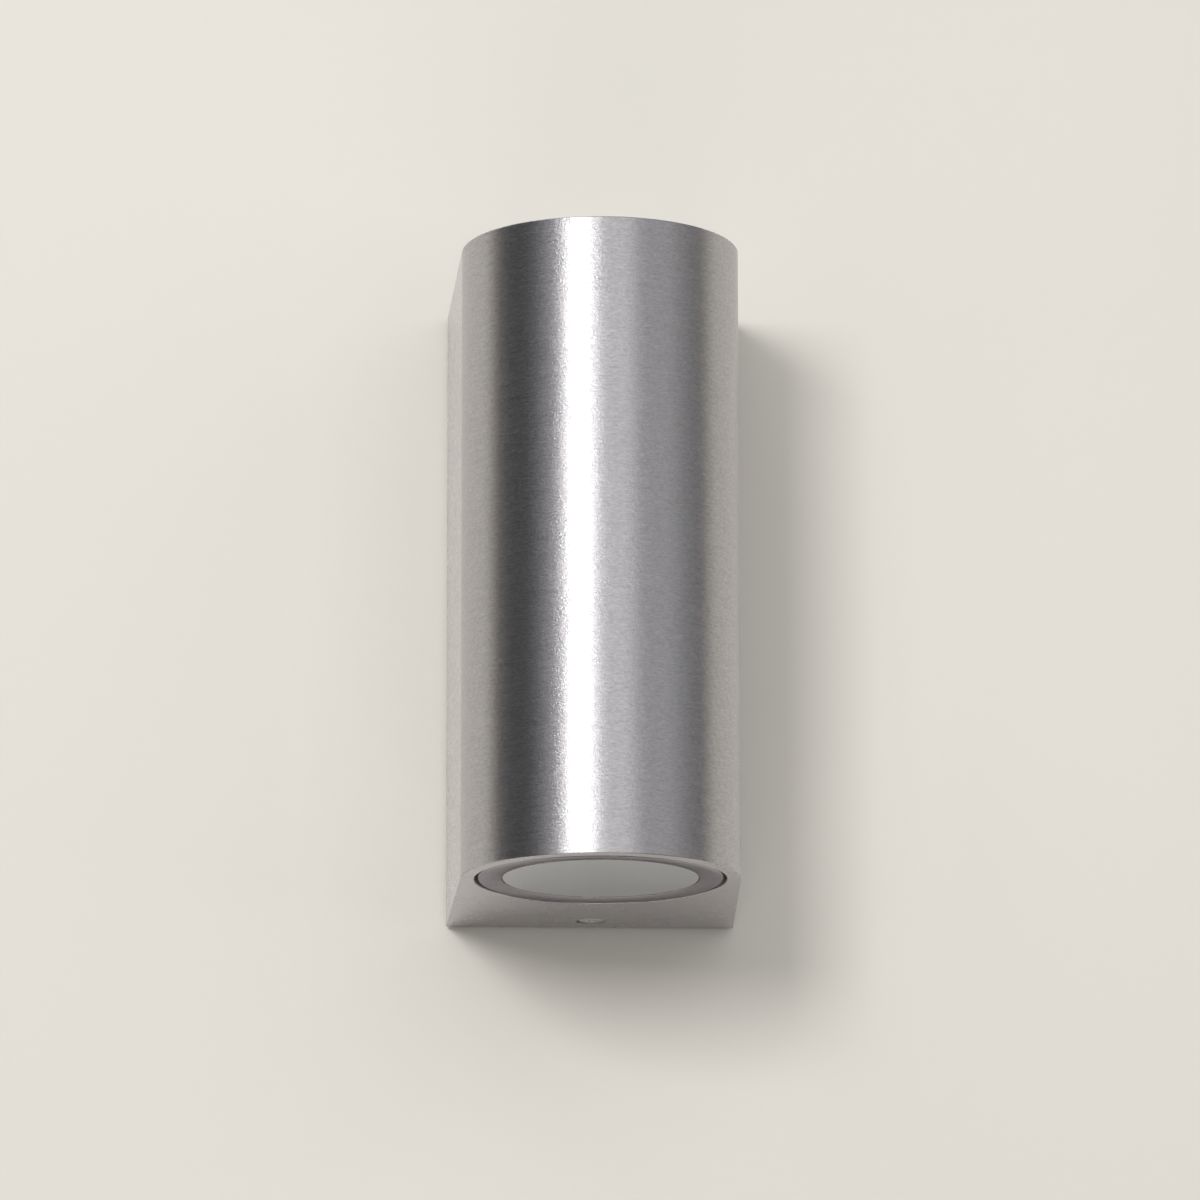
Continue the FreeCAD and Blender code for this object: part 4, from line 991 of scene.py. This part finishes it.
def drawn_brass():
    material, shader = new_finish("drawn_brass", metallic=1.0, roughness=0.3)
    drawn = noise(material, placed(material, scale=(2400, 2400, 220)), detail=3)
    stain = noise(material, placed(material, scale=(300, 300, 300)), detail=3)
    tone = blend_colours(material, stain, (0.58, 0.40, 0.16), (0.74, 0.55, 0.26))
    join(material, tone, shader.inputs["Base Color"])
    join(material, span(material, stain, 0.24, 0.4), shader.inputs["Roughness"])
    relief(material, shader, drawn, 0.000008)
    return material


nylon, brass = white_nylon(), drawn_brass()
for node, name, slot, material in (
    ("terminal_block", "terminal_block_nylon", "white_nylon", nylon),
    ("terminal_inserts", "terminal_tubes", "terminal_brass", brass),
    ("earth_tag", "earth_tag_brass", "terminal_brass", brass),
):
    fit(skin_of(node, name), "fitting", [node], slot, material)
for end_name in ("upper", "lower"):
    node = f"{end_name}_holder_contacts"
    contact = skin_of(node, f"{end_name}_contacts_brass", bevel=0.15)
    fit(contact, "fitting", [node], "terminal_brass", brass)

# %% [markdown]
# ## Ceramic lampholders
# The lampholders are pressed and fired steatite, off-white, dry and slightly speckled. Fired
# ceramic never has a knife edge, but here the edges stay as the solid has them, under smooth
# shading.

# %% Finish and dress the lampholders
def fired_steatite():
    material, shader = new_finish("fired_steatite", roughness=0.62)
    specks = noise(material, placed(material, scale=(1500, 1500, 1500)), detail=4, rough=0.75)
    cloud = noise(material, placed(material, scale=(160, 160, 160)), detail=3)
    spread = span(material, specks, 0, 1, 0.35, 0.5)
    tone = blend_colours(material, spread, (0.60, 0.56, 0.49), (0.74, 0.71, 0.65))
    join(material, tone, shader.inputs["Base Color"])
    join(material, span(material, cloud, 0.55, 0.72), shader.inputs["Roughness"])
    relief(material, shader, specks, 0.00004)
    return material


steatite = fired_steatite()
for end_name in ("upper", "lower"):
    for part, label in (("lampholder", "holder_base"), ("holder_cap", "holder_cap")):
        node = f"{end_name}_{part}"
        fired = skin_of(node, f"{end_name}_{label}_fired")
        fit(fired, "fitting", [node], "holder_ceramic", steatite)

# %% [markdown]
# ## The lamps
# Each lamp is a white moulded reflector shape with an opal disc in its face and two nickel plated
# pins. The shape comes from the solids, because the frosted glass hides the lamps from outside,
# and only the finishes tell the parts apart when a ring is screwed out.

# %% Finishes and dressing of the lamps
def moulded_white():
    material, shader = new_finish("moulded_white", roughness=0.3)
    peel = noise(material, placed(material, scale=(500, 500, 500)), detail=2)
    cloud = noise(material, placed(material, scale=(60, 60, 60)))
    tone = blend_colours(material, cloud, (0.76, 0.76, 0.75), (0.82, 0.82, 0.80))
    join(material, tone, shader.inputs["Base Color"])
    join(material, span(material, cloud, 0.26, 0.36), shader.inputs["Roughness"])
    relief(material, shader, peel, 0.00003)
    return material


def opal_disc():
    material, shader = new_finish("opal_disc", roughness=0.4)
    shader.inputs["Subsurface Weight"].default_value = 0.4
    shader.inputs["Subsurface Scale"].default_value = 0.003
    cloud = noise(material, placed(material, scale=(90, 90, 90)))
    tone = blend_colours(material, cloud, (0.80, 0.80, 0.77), (0.86, 0.86, 0.84))
    join(material, tone, shader.inputs["Base Color"])
    relief(material, shader, cloud, 0.00003)
    return material


moulded, opal = moulded_white(), opal_disc()
nickel = turned_metal(
    "nickel_plate", (0.60, 0.58, 0.54), (0.72, 0.70, 0.66), 2500, 0.25, 0.000004
)
for end_name in ("upper", "lower"):
    body = f"{end_name}_lamp"
    for part, slot, material, bevel in (
        ("shell", "lamp_white", moulded, 0.0),
        ("base", "lamp_white", moulded, 0.0),
        ("lens", "lamp_diffuser", opal, 0.0),
        ("pins", "pin_nickel", nickel, 0.12),
    ):
        node = f"{body}_{part}"
        fit(skin_of(node, f"{node}_dressed", bevel=bevel), body, [node], slot, material)

# %% [markdown]
# ## The leads
# Heat-proof sleeves in the usual colours run from the lampholders to the block: brown and blue for
# the lamps, green with a yellow stripe for the earth. Each is slightly glossy with a soft surface
# wave. The earth stripe winds slowly round its sleeve, drawn by a slanted wave.

# %% Finishes and dressing of the leads
def sleeve(name, dark, light):
    material, shader = new_finish(name, roughness=0.4)
    wave = noise(material, placed(material, scale=(350, 350, 350)), detail=2)
    tone = blend_colours(material, wave, dark, light)
    join(material, tone, shader.inputs["Base Color"])
    join(material, span(material, wave, 0.34, 0.5), shader.inputs["Roughness"])
    relief(material, shader, wave, 0.00005)
    return material


def striped_sleeve():
    material = sleeve("earth_sleeve_striped", (0.05, 0.22, 0.04), (0.08, 0.30, 0.05))
    shader = material.node_tree.nodes["Principled BSDF"]
    stripe = add_node(material, "ShaderNodeTexWave", {"Scale": 1.0, "Distortion": 0.0})
    vector = placed(material, scale=(20, 24, 24), turn=(0.4, 0.3, 0.5))
    join(material, vector, stripe.inputs["Vector"])
    step = span(material, stripe.outputs["Fac"], 0, 1, 0.62, 0.66)
    green = shader.inputs["Base Color"].links[0].from_socket
    mix = add_node(material, "ShaderNodeMix", data_type="RGBA")
    join(material, step, mix.inputs["Factor"])
    join(material, green, mix.inputs["A"])
    mix.inputs["B"].default_value = (0.72, 0.60, 0.04, 1)
    join(material, mix.outputs["Result"], shader.inputs["Base Color"])
    return material


sleeves = {
    "live": sleeve("live_sleeve_brown", (0.10, 0.045, 0.02), (0.15, 0.07, 0.03)),
    "neutral": sleeve("neutral_sleeve_blue", (0.02, 0.08, 0.30), (0.03, 0.12, 0.38)),
}
for end_name in ("upper", "lower"):
    for core, material in sleeves.items():
        node = f"{end_name}_{core}_lead"
        lead = skin_of(node, f"{node}_sleeve", degrees=50)
        fit(lead, "fitting", [node], f"{core}_sleeve", material)
earth = skin_of("earth_lead", "earth_lead_sleeve", degrees=50)
fit(earth, "fitting", ["earth_lead"], "earth_sleeve", striped_sleeve())
